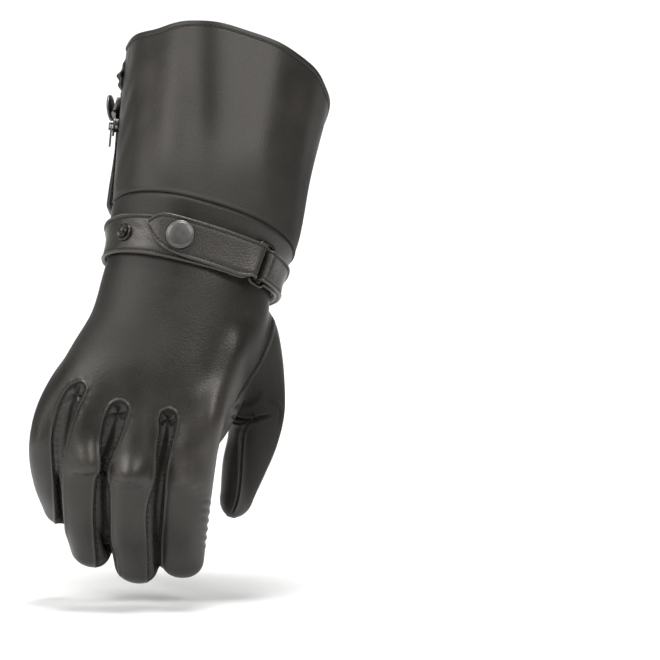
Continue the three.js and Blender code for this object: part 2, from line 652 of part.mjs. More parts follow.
// Where each strap runs. half: half its width. The wrist strap goes from the palm over the back to its ring,
// round the ring's bar, and back over itself as a pointed flap.
const WRIST_RING = { degrees: 45.5, along: -18, apart: 8.8, tall: 25 };
const WRIST_UNDER = [
  { degrees: 206, along: -17, lift: UNDER, half: 9.6 },
  { degrees: 188, along: -17.5, lift: UNDER, half: 9.6 },
  { degrees: 166, along: -19, lift: UNDER, half: 9.6 },
  { degrees: 140, along: -19.5, lift: UNDER, half: 9.6 },
  { degrees: 110, along: -19.5, lift: UNDER, half: 9.6 },
  { degrees: 80, along: -19, lift: UNDER, half: 9.6 },
  { degrees: 60.5, along: -18.4, lift: UNDER, half: 9.6 },
];
const WRIST_FLAP = [
  { degrees: 63, along: -18.4, lift: 5.6, half: 9.6 },
  { degrees: 78, along: -18.4, lift: OVER + 0.2, half: 9.4 },
  { degrees: 98, along: -18, lift: OVER, half: 9.2 },
  { degrees: 112, along: -16.6, lift: OVER, half: 7.8 },
  { degrees: 122, along: -15, lift: OVER, half: 2.5 },
];
// The tab that holds the wrist ring, round the thumb's edge of the wrist.
const TAB_UNDER = [
  { degrees: -26, along: -14.5, lift: UNDER + 0.4, half: 7.4 },
  { degrees: -12, along: -14.5, lift: UNDER + 0.4, half: 8 },
  { degrees: 8, along: -15.4, lift: UNDER + 0.4, half: 8.8 },
  { degrees: 26, along: -17, lift: UNDER + 0.3, half: 9 },
];
const TAB_OVER = [
  { degrees: 28, along: -17, lift: 5.3, half: 9 },
  { degrees: 10, along: -15.5, lift: OVER + 0.5, half: 8.8 },
  { degrees: -8, along: -14.5, lift: OVER + 0.4, half: 8.1 },
  { degrees: -22, along: -14.5, lift: OVER + 0.4, half: 7.5 },
];
// The closure at the rim: a tab sewn to the palm panel, its ring, and a strap with a slanting flap.
const RIM_RING = { degrees: 219.5, along: 79, apart: 8, tall: 26 };
const RIM_TAB_UNDER = [
  { degrees: 247, along: 78, lift: UNDER, half: 9.6 },
  { degrees: 232, along: 78.6, lift: UNDER, half: 9.6 },
];
const RIM_TAB_OVER = [
  { degrees: 231, along: 78.8, lift: 5, half: 9.6 },
  { degrees: 239, along: 78.6, lift: OVER, half: 9.6 },
  { degrees: 247, along: 78.8, lift: OVER, half: 8.6 },
  { degrees: 253, along: 79.2, lift: OVER, half: 5 },
];
const RIM_UNDER = [{ degrees: 203, along: 79, lift: UNDER, half: 8.8 }];
const RIM_OVER = [
  { degrees: 207, along: 78, lift: 5.4, half: 9.4, tilt: 8 },
  { degrees: 200, along: 75, lift: 3.7, half: 10, tilt: 20 },
  { degrees: 193, along: 70, lift: 2.8, half: 9.4, tilt: 34 },
  { degrees: 187, along: 64, lift: 2.5, half: 4.4, tilt: 44 },
];
const STRAPS = [
  { name: "wrist_strap", under: WRIST_UNDER, ring: WRIST_RING, side: -1, half: 9.6, over: WRIST_FLAP },
  { name: "ring_tab", under: TAB_UNDER, ring: WRIST_RING, side: 1, half: 9, over: TAB_OVER },
  { name: "rim_tab", under: RIM_TAB_UNDER, ring: RIM_RING, side: -1, half: 9.6, over: RIM_TAB_OVER },
  { name: "rim_strap", under: RIM_UNDER, ring: RIM_RING, side: 1, half: 8.8, over: RIM_OVER },
];
for (const { name, under, ring, side, half, over } of STRAPS) {
  const lines = [...under.map(crossLine), ...foldLines(ring, side, half), ...over.map(crossLine)];
  addPiece(name, strapGeometry(lines), "strap");
}
addPiece("wrist_ring", ringGeometry(WRIST_RING), "black");
addPiece("rim_ring", ringGeometry(RIM_RING), "black");

// Snaps: a domed cap, and a bare stud with its ball.
function turned(profile) {
  const points = profile.map(([radius, height]) => new THREE.Vector2(radius, height));
  return facingOut(new THREE.LatheGeometry(points, RIVET_SIDES).rotateX(Math.PI / 2));
}
const CAP_PROFILE = [
  { radius: 0, height: 0 },
  { radius: 0.9, height: 0 },
  { radius: 1, height: 0.3 },
  { radius: 0.97, height: 0.6 },
  { radius: 0.8, height: 0.88 },
  { radius: 0.4, height: 1 },
  { radius: 0, height: 1 },
];
const capGeometry = () =>
  turned(CAP_PROFILE.map(({ radius, height }) => [radius * SNAP.radius, height * SNAP.height]));
function studGeometry() {
  const { radius, base, neck, ball, height } = STUD;
  const foot = [
    [0, 0],
    [radius, 0],
    [radius, base * 0.6],
    [radius * 0.8, base],
    [neck, base],
  ];
  const head = [
    [neck, height * 0.55],
    [ball, height * 0.75],
    [ball * 0.6, height],
    [0, height],
  ];
  return turned([...foot, ...head]);
}
const onTop = STRAP_THICK / 2 + SEAT;
const SNAPS = [
  { name: "flap_snap", make: capGeometry, degrees: 100, along: -17.8, lift: OVER + onTop },
  { name: "strap_stud", make: studGeometry, degrees: 143, along: -19.4, lift: UNDER + 0.25 + onTop },
  { name: "rim_snap", make: capGeometry, degrees: 199, along: 74, lift: 4.65 + onTop },
];
for (const { name, make, ...place } of SNAPS) addPiece(name, onSurface(make(), place), "nickel");

export default glove;
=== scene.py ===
# %% [markdown]
# A black leather gauntlet glove
#
# This is a right-hand gauntlet, filled out as a hand wears it. The fingers hang down, the wide cuff opens
# upwards and the back of the hand faces -Y. Its solids are right in size, but faceted and bare. They could
# be subdivided, but that would round the straps and the seams as well. So each one is dressed instead: the
# leather is built again from the same named sizes at a finer step, and then gets seams, stitches, folds,
# grain and metal.
#
# Shapes are worked out in millimetres, as a glove maker would, and turned into metres when a mesh is made.

import math

import bpy
import numpy as np
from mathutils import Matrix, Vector
from mathutils.bvhtree import BVHTree
from mathutils.kdtree import KDTree


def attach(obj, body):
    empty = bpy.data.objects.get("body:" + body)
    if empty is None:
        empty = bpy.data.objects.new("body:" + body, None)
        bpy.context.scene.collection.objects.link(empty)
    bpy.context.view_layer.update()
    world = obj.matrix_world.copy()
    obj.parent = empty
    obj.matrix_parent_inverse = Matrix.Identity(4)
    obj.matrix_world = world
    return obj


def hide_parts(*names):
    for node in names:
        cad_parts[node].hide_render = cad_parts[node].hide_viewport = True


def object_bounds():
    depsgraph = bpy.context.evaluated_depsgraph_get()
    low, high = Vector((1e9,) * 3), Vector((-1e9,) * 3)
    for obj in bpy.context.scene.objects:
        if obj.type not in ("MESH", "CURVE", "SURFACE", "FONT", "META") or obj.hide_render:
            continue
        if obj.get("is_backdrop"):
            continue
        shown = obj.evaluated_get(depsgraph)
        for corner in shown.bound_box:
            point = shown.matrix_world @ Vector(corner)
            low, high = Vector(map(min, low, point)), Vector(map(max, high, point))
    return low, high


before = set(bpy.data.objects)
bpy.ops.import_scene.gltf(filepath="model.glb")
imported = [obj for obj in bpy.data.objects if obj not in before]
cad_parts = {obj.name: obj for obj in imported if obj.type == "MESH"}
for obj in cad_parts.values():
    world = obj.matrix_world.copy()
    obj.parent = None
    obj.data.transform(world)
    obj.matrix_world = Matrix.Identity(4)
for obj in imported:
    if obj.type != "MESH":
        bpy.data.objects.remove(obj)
CAD_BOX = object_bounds()
MM = 0.001
print("solids:", len(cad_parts))

# %% [markdown]
# The camera
#
# The picture was taken level with the glove, from some way off, so that the fingers don't look too large. A
# camera could be placed by eye. Here its lens follows from two facts instead: a millimetre at y = 0 covers
# 1 / 0.53 pixels, and the camera stands 1.2 m away. The glove hangs left of the middle, so the lens is
# shifted that way, which keeps the camera square to the glove. The same numbers then turn any point into
# its pixel.

# %% The camera, and pixels of points
PIXELS = 660
MM_PER_PIXEL = 0.53
DISTANCE = 1200.0
SENSOR = 36.0
AIM = {"x": -6.36, "z": -32.9, "px": 185.0, "py": 300.0}
CAMERA_MM = np.array([AIM["x"], -DISTANCE, AIM["z"]])


def linked(name, data):
    """A new object of the scene that carries some data."""
    made = bpy.data.objects.new(name, data)
    bpy.context.scene.collection.objects.link(made)
    return made


camera_data = bpy.data.cameras.new("camera")
camera_data.sensor_width = SENSOR
camera_data.lens = SENSOR * DISTANCE / (PIXELS * MM_PER_PIXEL)
camera_data.shift_x = 0.5 - AIM["px"] / PIXELS
camera_data.shift_y = AIM["py"] / PIXELS - 0.5
camera_data.clip_end = 20.0
camera = linked("camera", camera_data)
camera.location = (AIM["x"] * MM, -DISTANCE * MM, AIM["z"] * MM)
camera.rotation_euler = (math.radians(90), 0, 0)
bpy.context.scene.camera = camera


def pixels_of(points):
    """Where points (in mm) show in the picture, as an array of px, py."""
    scale = DISTANCE / (DISTANCE + points[:, 1]) / MM_PER_PIXEL
    px = AIM["px"] + (points[:, 0] - AIM["x"]) * scale
    py = AIM["py"] - (points[:, 2] - AIM["z"]) * scale
    return np.stack([px, py], 1)


def ray_of(px, py):
    """The camera's place in metres and the direction through a pixel."""
    direction = Vector(((px - AIM["px"]) * MM_PER_PIXEL, DISTANCE, (AIM["py"] - py) * MM_PER_PIXEL))
    return Vector(camera.location), direction.normalized()


print("lens:", round(camera_data.lens, 1), "mm")

# %% [markdown]
# The glove's named sizes
#
# A hand is a round form that changes slowly along its length, so a few sections say all of it. A sculpted
# mesh could do the same, but a size could not be read from it or changed in it. The body's sections go from
# the knuckles (along -112) through the wrist seam (0) to above the rim. Each digit's go from its root to
# its tip.

# %% Sections of the body, the rim and the digits
ROUNDNESS = 2.25
FINGER_SLOPE = 8.0
TIP_LENGTH = 12.0
HAND_WALL = 1.6
CUFF_WALL = 2.2
CUFF_HEIGHT = 99.0
STRAP_THICK = 1.8
UNDER = 1.1 + STRAP_THICK / 2
OVER = UNDER + STRAP_THICK + 0.3


def table(columns, *rows):
    """Rows of values as dicts, by the names of their columns."""
    return [dict(zip(columns.split(), row)) for row in rows]


BODY = table(
    "along x y z wide deep slope lean arch",
    (-112, -38, -39.5, -104.8, 79, 28, 17.5, 48, 2),
    (-104, -35, -37.8, -97.2, 87, 33, 18, 39, 3),
    (-92, -28.5, -34.8, -85.1, 93.5, 37.4, 18, 30, 4),
    (-76, -20.5, -29.5, -70, 93.5, 40.5, 18, 25, 4),
    (-57, -12, -22, -52, 90, 45, 17, 23, 3),
    (-36.5, -6.5, -14, -33, 90, 52, 16, 23, 1),
    (-18, -3, -6.5, -14.5, 88, 59, 16, 24, 0),
    (-7, -1, -2, -4, 93.5, 65, 16, 25, 0),
    (0, 3, 0, 3, 100, 69, 16, 26, 0),
    (52, 9.2, 26, 47.5, 107.8, 87, 16.5, 28, 0),
    (103, 16.9, 51.5, 91.5, 118, 104, 17, 29, 0),
    (118, 19.2, 59, 104.6, 122, 109, 17, 29, 0),
)
RIM = table(
    "degrees rise",
    (-60, 1),
    (0, -2),
    (45, -0.5),
    (90, 0.5),
    (115, -1.5),
    (138, -5),
    (165, -2.5),
    (200, 0),
    (300, 1),
    (360, -2),
    (405, -0.5),
)
DIGIT = "x y z wide deep turn"
DIGITS = {
    "index": table(
        DIGIT,
        (4, -29, -70, 23, 21, 0),
        (0.8, -38.6, -88, 27.2, 26, 0),
        (-2.6, -42, -105, 27.4, 26, 0),
        (-5.2, -40.5, -125.5, 26.8, 24.5, -2),
        (-7, -30, -147.5, 25.4, 21.5, -4),
        (-7.8, -12, -168.5, 23.2, 17, -5),
    ),
    "middle": table(
        DIGIT,
        (-25.8, -30, -72, 22, 20, 0),
        (-28.2, -40, -89, 26.2, 26, 2),
        (-30.6, -43.5, -106, 27.2, 26, 2),
        (-32.4, -42, -126, 27, 24.5, 4),
        (-33, -31.5, -149, 26, 22, 8),
        (-31.8, -13.5, -171, 23.6, 17.5, 12),
    ),
    "ring": table(
        DIGIT,
        (-48.4, -28, -65, 20, 20, 4),
        (-53.2, -38, -84, 24.2, 25, 8),
        (-57.2, -41, -101, 25.2, 25, 10),
        (-59, -39, -119.5, 25.6, 23.5, 12),
        (-58.6, -28.5, -142, 24.6, 21, 16),
        (-55.8, -11, -163, 22.2, 17, 20),
    ),
    "little": table(
        DIGIT,
        (-57.5, -21, -59, 12, 14, 14),
        (-66.4, -28, -76, 18.8, 20, 20),
        (-74, -30, -93, 20.2, 20.5, 24),
        (-77.2, -26.5, -110, 19.8, 19.5, 28),
        (-76.4, -16.5, -127, 18.4, 17.5, 32),
        (-73.6, -3.5, -142, 16.2, 14, 36),
    ),
    "thumb": table(
        DIGIT,
        (18, -3, -28, 23, 21, -45),
        (21.5, -3.2, -48, 39, 38.5, -48),
        (26.8, -2.6, -70, 38, 37, -52),
        (31, -1.2, -91.5, 31, 30, -55),
        (29.8, 0, -105.5, 27, 26, -58),
        (25.4, 2, -120.5, 24.5, 23, -60),
        (21.3, 4, -137, 19.5, 17, -62),
    ),
}
print("sections:", len(BODY), "of the body,", sum(len(rows) for rows in DIGITS.values()), "of the digits")

# %% [markdown]
# Smooth curves between the sections
#
# Between two sections every size has to change without a kink, or the leather would show a crease there.
# Blender curves could do it, but the glove needs thousands of points at once, so both kinds of curve are a
# few lines of numpy: one through a table's columns, and one through points in space.

# %% Curves, soft steps and bells
def unit(vectors):
    return vectors / np.maximum(np.linalg.norm(vectors, axis=-1, keepdims=True), 1e-9)


def smoothstep(low, high, values):
    t = np.clip((values - low) / (high - low), 0, 1)
    return t * t * (3 - 2 * t)


def bell(values, width):
    return np.exp(-((values / width) ** 2))


def rows_at(rows, key, values):
    """Every column of a table at an array of values of its key column, on a smooth curve."""
    keys = np.array([row[key] for row in rows], float)
    values = np.asarray(values, float)
    last = len(keys) - 1
    i = np.clip(np.searchsorted(keys, values, side="right") - 1, 0, last - 1)
    span = keys[i + 1] - keys[i]
    t = (values - keys[i]) / span
    before = np.maximum(np.arange(last + 1) - 1, 0)
    after = np.minimum(np.arange(last + 1) + 1, last)
    made = {}
    for name in rows[0]:
        column = np.array([row[name] for row in rows], float)
        slope = (column[after] - column[before]) / (keys[after] - keys[before])
        t2, t3 = t * t, t * t * t
        made[name] = (
            column[i] * (2 * t3 - 3 * t2 + 1)
            + slope[i] * span * (t3 - 2 * t2 + t)
            + column[i + 1] * (3 * t2 - 2 * t3)
            + slope[i + 1] * span * (t3 - t2)
        )
    return made


def spline(points, t, centripetal=False):
    """A curve through points, at shares t of the way from the first to the last.

    A centripetal curve makes no loops where the points' distances differ.
    """
    points, t = np.asarray(points, float), np.atleast_1d(np.asarray(t, float))
    padded = np.concatenate([[2 * points[0] - points[1]], points, [2 * points[-1] - points[-2]]])
    place = np.clip(t, 0, 1) * (len(points) - 1)
    i = np.minimum(place.astype(int), len(points) - 2)
    w = (place - i).reshape([-1] + [1] * (points.ndim - 1))
    p0, p1, p2, p3 = padded[i], padded[i + 1], padded[i + 2], padded[i + 3]
    if centripetal:
        pairs = (p0, p1), (p1, p2), (p2, p3)
        gap = [np.maximum(np.linalg.norm(b - a, axis=-1, keepdims=True) ** 0.5, 1e-6) for a, b in pairs]
        m1 = ((p1 - p0) / gap[0] - (p2 - p0) / (gap[0] + gap[1]) + (p2 - p1) / gap[1]) * gap[1]
        m2 = ((p2 - p1) / gap[1] - (p3 - p1) / (gap[1] + gap[2]) + (p3 - p2) / gap[2]) * gap[1]
    else:
        m1, m2 = (p2 - p0) / 2, (p3 - p1) / 2
    return (
        p1 * (2 * w**3 - 3 * w**2 + 1)
        + m1 * (w**3 - 2 * w**2 + w)
        + p2 * (3 * w**2 - 2 * w**3)
        + m2 * (w**3 - w**2)
    )


print("width half way up the cuff:", round(float(rows_at(BODY, "along", 52)["wide"]), 1), "mm")

# %% [markdown]
# Places on the arm
#
# Straps, snaps, the zip and the cuff all lie on one slowly bending tube. Each could be given in x, y and z,
# but then it would have to be fitted again whenever the tube changes. So a place is said as on the arm
# itself: degrees round the section, millimetres up the arm, and a lift off the surface. 0 degrees is the
# thumb's edge, 90 the back of the hand, 180 the little finger's edge and 270 the palm.

# %% The body's surface
def rounded_section(angle, wide, deep):
    def bend(value):
        return np.sign(value) * np.abs(value) ** (2 / ROUNDNESS)

    return wide / 2 * bend(np.cos(angle)), deep / 2 * bend(np.sin(angle))


def body_point(degrees, along):
    """Points of the body's surface, for arrays of degrees round it and mm along the arm."""
    degrees, along = np.broadcast_arrays(np.asarray(degrees, float), np.asarray(along, float))
    row = rows_at(BODY, "along", along)
    slope, lean, angle = np.radians(row["slope"]), np.radians(row["lean"]), np.radians(degrees)
    u, v = rounded_section(angle, row["wide"], row["deep"])
    across = np.stack([np.cos(slope), 0 * slope, -np.sin(slope)], -1)
    back = np.stack([np.sin(slope) * np.sin(lean), -np.cos(lean), np.cos(slope) * np.sin(lean)], -1)
    centre = np.stack([row["x"], row["y"], row["z"]], -1)
    return centre + across * u[..., None] + back * (v - row["arch"] * np.cos(angle) ** 2)[..., None]


def body_frame(degrees, along, lift=0.0):
    """A point of the body's surface with the directions around it, up the arm and out of it."""
    around = body_point(np.add(degrees, 1), along) - body_point(np.subtract(degrees, 1), along)
    rising = body_point(degrees, np.add(along, 1)) - body_point(degrees, np.subtract(along, 1))
    out = unit(np.cross(rising, around))
    per_degree = np.linalg.norm(around, axis=-1) / 2
    around = unit(around)
    point = body_point(degrees, along) + out * np.asarray(lift, float)[..., None]
    up = np.cross(around, out)
    return {"point": point, "around": around, "up": up, "out": out, "per_degree": per_degree}


def on_body(degrees, along, lift=0.0):
    return body_frame(degrees, along, lift)["point"]


def body_rings(first, last, step, sides):
    stations = np.linspace(first, last, int(round((last - first) / step)) + 1)
    degrees = np.linspace(0, 360, sides, endpoint=False)
    return on_body(degrees[None, :], stations[:, None])


def placed(points, degrees, along, lift):
    """Points drawn with x towards the thumb's edge, y up the arm and z outwards, put on the body."""
    at = body_frame(degrees, along)
    points = np.asarray(points, float)
    flat = -at["around"] * points[..., :1] + at["up"] * points[..., 1:2]
    return at["point"] + (flat + at["out"] * (points[..., 2:] + lift))


print("one degree at the wrist:", round(float(body_frame(90, 0)["per_degree"]), 2), "mm")

# %% [markdown]
# Fingers and thumb
#
# A gloved finger is a tube that bends and narrows to a round tip. It could be a bevelled curve with a
# radius at each point, but its section is wider than deep, and turned. So rings are laid along a smooth
# line, each square to it, and the last ones shrink along a quarter circle, which makes the tip.

# %% Rings of a digit
DIGIT_SIDES = 48
DIGIT_STATIONS = 60
TIP_RINGS = 12
TIP_TURN = 1.5


def digit_rings(rows):
    """Rings of a finger or thumb down to its rounded tip, as an array (ring, side, 3)."""
    places = np.array([[row["x"], row["y"], row["z"]] for row in rows], float)
    keyed = [{**row, "at": i / (len(rows) - 1)} for i, row in enumerate(rows)]
    share = np.concatenate([np.linspace(0, 1, DIGIT_STATIONS), np.ones(TIP_RINGS)])
    turned = np.concatenate([np.zeros(DIGIT_STATIONS), np.linspace(0, TIP_TURN, TIP_RINGS + 1)[1:]])
    tangent = unit(spline(places, share + 1e-4, True) - spline(places, share - 1e-4, True))
    centre = spline(places, share, True) + tangent * (TIP_LENGTH * np.sin(turned))[:, None]
    row = rows_at(keyed, "at", share)
    turn, slope = np.radians(row["turn"]), math.radians(FINGER_SLOPE)
    across = np.stack([np.cos(turn) * math.cos(slope), -np.sin(turn), -math.sin(slope) + 0 * turn], -1)
    across = unit(across - tangent * (across * tangent).sum(-1, keepdims=True))
    back = unit(np.cross(tangent, across))
    angle = np.linspace(0, 2 * np.pi, DIGIT_SIDES, endpoint=False)[None, :]
    shrink = np.cos(turned)[:, None]
    u, v = rounded_section(angle, row["wide"][:, None] * shrink, row["deep"][:, None] * shrink)
    return centre[:, None] + across[:, None] * u[..., None] + back[:, None] * v[..., None]


lofts = [body_rings(-112, 8, 2, 120), *(digit_rings(rows) for rows in DIGITS.values())]
print("rings:", [len(rings) for rings in lofts])

# %% [markdown]
# From points to pieces
#
# Blender's own primitives could be bent into leather, but points and faces from numpy keep full control of
# where each quad lies. A few helpers do it for every piece: a grid of quads, a closed skin over rings, and
# a sheet with a wall. A closed mesh whose volume comes out negative is inside out, so it is turned.

# %% Meshes, and what a piece rides on
def grid_faces(rows, columns, closed=False):
    """Quads of a grid of rows by columns of points. closed joins the last column to the first."""
    r, c = np.meshgrid(np.arange(rows - 1), np.arange(columns if closed else columns - 1), indexing="ij")
    a, b = r * columns + c, r * columns + (c + 1) % columns
    return np.stack([a, b, b + columns, a + columns], -1).reshape(-1, 4)


def mesh_of(name, points, faces):
    """A mesh from points in mm."""
    mesh = bpy.data.meshes.new(name)
    mesh.from_pydata((np.asarray(points) * MM).tolist(), [], [list(face) for face in faces])
    mesh.validate()
    return mesh


def capped(rings):
    """Points and faces of a closed skin over rings, with a fan over each end."""
    count, sides = rings.shape[:2]
    points = np.concatenate([rings.reshape(-1, 3), rings[:1].mean(1), rings[-1:].mean(1)])
    faces = grid_faces(count, sides, closed=True).tolist()
    last, middle = (count - 1) * sides, count * sides
    for i in range(sides):
        faces.append([(i + 1) % sides, i, middle])
        faces.append([last + i, last + (i + 1) % sides, middle + 1])
    return points, faces


def outward(mesh):
    """Turns the faces round where the mesh's volume comes out negative."""
    points = np.array([v.co for v in mesh.vertices])
    volume = 0.0
    for face in mesh.polygons:
        corners = points[list(face.vertices)]
        for k in range(1, len(corners) - 1):
            volume += corners[0] @ np.cross(corners[k], corners[k + 1])
    if volume < 0:
        mesh.flip_normals()
    return mesh


def sheet_mesh(name, outer, inner):
    """A closed sheet between two grids of points with the same layout."""
    rows, columns = outer.shape[:2]
    points = np.concatenate([outer.reshape(-1, 3), inner.reshape(-1, 3)])
    far = rows * columns
    front = grid_faces(rows, columns)
    bottom, right = np.arange(columns - 1), columns - 1 + columns * np.arange(rows - 1)
    top, left = far - 1 - np.arange(columns - 1), (rows - 1 - np.arange(rows - 1)) * columns
    rim = np.concatenate([bottom, right, top, left])
    after = np.roll(rim, -1)
    edge = np.stack([after, rim, rim + far, after + far], 1)
    return outward(mesh_of(name, points, np.concatenate([front, front[:, ::-1] + far, edge]).tolist()))


def finished(made):
    """The mesh of an object after its modifiers. The object is removed."""
    mesh = bpy.data.meshes.new_from_object(made.evaluated_get(bpy.context.evaluated_depsgraph_get()))
    bpy.data.objects.remove(made)
    return mesh


def piece(name, mesh, material, replaces=(), body="glove", smooth=True):
    """Adds a mesh as a piece of the glove that rides on a body."""
    made = linked(name, mesh)
    mesh.materials.clear()
    mesh.materials.append(material)
    for face in mesh.polygons:
        face.use_smooth = smooth
    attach(made, body)
    if replaces:
        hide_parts(*replaces)
    print(name, len(mesh.polygons), "faces")
    return made


def shade(mesh, **values):
    """Gives a mesh the point attributes that the leather reads."""
    for name, column in values.items():
        layer = mesh.attributes.new(name, "FLOAT", "POINT")
        layer.data.foreach_set("value", np.clip(column, 0, 1).astype(np.float32))
    return mesh


# %% [markdown]
# Small helpers for nodes
#
# Node trees are often drawn by hand in the editor. Written out, the same tree can be read, compared and
# built again. These helpers add a node with its settings, join its first inputs, and set all nodes out in
# columns.

# %% Nodes
NODE_ROWS = 5
NODE_STEP = 220


def node(tree, kind, **settings):
    made = tree.nodes.new(kind)
    for key, value in settings.items():
        setattr(made, key, value)
    return made


def wire(tree, target, *sources):
    """Joins outputs or sets plain numbers on the first inputs of a node."""
    for socket, source in zip(target.inputs, sources):
        if isinstance(source, bpy.types.NodeSocket):
            tree.links.new(source, socket)
        elif source is not None:
            socket.default_value = source
    return target.outputs[0]


def sums(tree, operation, *sources, clamp=False):
    made = node(tree, "ShaderNodeMath", operation=operation)
    made.use_clamp = clamp
    return wire(tree, made, *sources)


def noise_of(tree, place, scale, detail=3.0, rough=0.5):
    made = node(tree, "ShaderNodeTexNoise")
    made.inputs["Scale"].default_value = scale
    made.inputs["Detail"].default_value = detail
    made.inputs["Roughness"].default_value = rough
    tree.links.new(place, made.inputs["Vector"])
    return made


def blended(tree, blend, factor, first, second):
    """Mixes two colours. Each is an output or a plain colour."""
    made = node(tree, "ShaderNodeMix", data_type="RGBA", blend_type=blend)
    for name, source in (("Factor", factor), ("A", first), ("B", second)):
        if isinstance(source, bpy.types.NodeSocket):
            tree.links.new(source, made.inputs[name])
        else:
            made.inputs[name].default_value = (*source, 1)
    return made.outputs["Result"]


def sockets(tree, in_out, *rows):
    """Adds named inputs or outputs to a tree, each with its kind and, where it has one, its value."""
    for name, kind, *value in rows:
        socket = tree.interface.new_socket(name, in_out=in_out, socket_type="NodeSocket" + kind)
        if value:
            socket.default_value = value[0]


def spread(tree, name):
    """Sets a tree's nodes out in columns, so that they can be read in the editor."""
    for k, made in enumerate(tree.nodes):
        made.location = (NODE_STEP * (k // NODE_ROWS), -NODE_STEP * (k % NODE_ROWS))
    print(name, "has", len(tree.nodes), "nodes")


# %% [markdown]
# Leather
#
# Drum-dyed leather is pebbled: small soft cells with fine hollows between them, crossed by long shallow
# wrinkles. It is a little paler and glossier where it is rubbed. A photographed texture would bring its own
# light and its own seams with it. So one shader group makes every leather from cells and noise on Object
# coordinates, at the real scale of the grain, and two point attributes of the mesh steer it: one holds shade
# painted into seams, folds and cracks, the other rubbed edges together with painted highlights.

# %% The leather's shader group
GRAIN_HEIGHT = 0.0003
GRAIN_SHIFT = 0.0009
WRINKLE_STRETCH = (0.35, 0.8, 1.5)
# Paler colour for rubbed leather and for painted highlights, and the colour multiplied in for painted shade
# and for the grain's hollows.
RUBBED_AND_SHEEN = (0.0215, 0.0196, 0.0172)
SHADE_AND_HOLLOW = (0.25, 0.24, 0.23)


def leather_group():
    tree = bpy.data.node_groups.new("leather", "ShaderNodeTree")
    inputs = (
        ("Colour", "Color", (0.03, 0.028, 0.026, 1)),
        ("Roughness", "Float", 0.4),
        ("Grain size", "Float", 1000.0),
        ("Grain depth", "Float", 0.2),
        ("Wear", "Float", 0.3),
    )
    sockets(tree, "INPUT", *inputs)
    sockets(tree, "OUTPUT", ("Colour", "Color"), ("Roughness", "Float"), ("Normal", "Vector"))
    link = tree.links.new
    given, result = node(tree, "NodeGroupInput"), node(tree, "NodeGroupOutput")
    place = node(tree, "ShaderNodeTexCoord").outputs["Object"]

    # The cells, bent a little so that no row of them is straight.
    shift = node(tree, "ShaderNodeVectorMath", operation="SCALE")
    shift.inputs["Scale"].default_value = GRAIN_SHIFT
    link(noise_of(tree, place, 350, 2).outputs["Color"], shift.inputs[0])
    bent = node(tree, "ShaderNodeVectorMath", operation="ADD")
    wire(tree, bent, place, shift.outputs[0])
    cells = node(tree, "ShaderNodeTexVoronoi", feature="SMOOTH_F1")
    cells.inputs["Smoothness"].default_value = 0.4
    link(bent.outputs[0], cells.inputs["Vector"])
    link(given.outputs["Grain size"], cells.inputs["Scale"])

    # Long wrinkles, deeper in some patches than in others.
    stretch = node(tree, "ShaderNodeMapping")
    stretch.inputs["Scale"].default_value = WRINKLE_STRETCH
    stretch.inputs["Rotation"].default_value = (0, math.radians(14), 0)
    link(place, stretch.inputs["Vector"])
    wrinkle = noise_of(tree, stretch.outputs[0], 310, 4, 0.6).outputs["Fac"]
    ridge = sums(tree, "ABSOLUTE", sums(tree, "SUBTRACT", wrinkle, 0.5))
    fine = noise_of(tree, place, 2400, 3).outputs["Fac"]
    slow = noise_of(tree, place, 38, 5, 0.55).outputs["Fac"]
    patch = wire(tree, node(tree, "ShaderNodeMapRange"), slow, 0.34, 0.68)
    height = sums(tree, "MULTIPLY", cells.outputs["Distance"], -0.9)
    height = sums(tree, "MULTIPLY_ADD", fine, 0.3, height)
    height = sums(tree, "MULTIPLY_ADD", ridge, sums(tree, "MULTIPLY_ADD", patch, 1.1, 0.4), height)
    bump = node(tree, "ShaderNodeBump")
    bump.inputs["Distance"].default_value = GRAIN_HEIGHT
    link(given.outputs["Grain depth"], bump.inputs["Strength"])
    link(height, bump.inputs["Height"])

    # The colour: paler where it is rubbed and where a highlight is painted, darker in the grain's hollows,
    # and darker still where shade is painted.
    dark = node(tree, "ShaderNodeAttribute", attribute_name="dark").outputs["Fac"]
    worn = node(tree, "ShaderNodeAttribute", attribute_name="worn").outputs["Fac"]
    amount = sums(tree, "MULTIPLY", patch, given.outputs["Wear"])
    amount = sums(tree, "MULTIPLY_ADD", worn, 0.8, amount)
    paler = blended(tree, "ADD", amount, given.outputs["Colour"], RUBBED_AND_SHEEN)
    hollow = wire(tree, node(tree, "ShaderNodeMapRange"), cells.outputs["Distance"], 0.3, 0.8, 0, 0.3)
    deep = sums(tree, "MULTIPLY_ADD", dark, 0.85, hollow, clamp=True)
    with_painted_shade = blended(tree, "MULTIPLY", deep, paler, SHADE_AND_HOLLOW)

    gloss = sums(tree, "MULTIPLY_ADD", patch, 0.1, sums(tree, "SUBTRACT", given.outputs["Roughness"], 0.05))
    gloss = sums(tree, "MULTIPLY_ADD", dark, 0.5, gloss)
    gloss = sums(tree, "MULTIPLY_ADD", worn, -0.06, gloss, clamp=True)
    link(with_painted_shade, result.inputs["Colour"])
    link(gloss, result.inputs["Roughness"])
    link(bump.outputs["Normal"], result.inputs["Normal"])
    spread(tree, "the leather group")
    return tree


LEATHER = leather_group()


def shaded(name):
    """A new material with its node tree and its shader."""
    made = bpy.data.materials.new(name)
    made.use_nodes = True
    return made, made.node_tree, made.node_tree.nodes["Principled BSDF"]


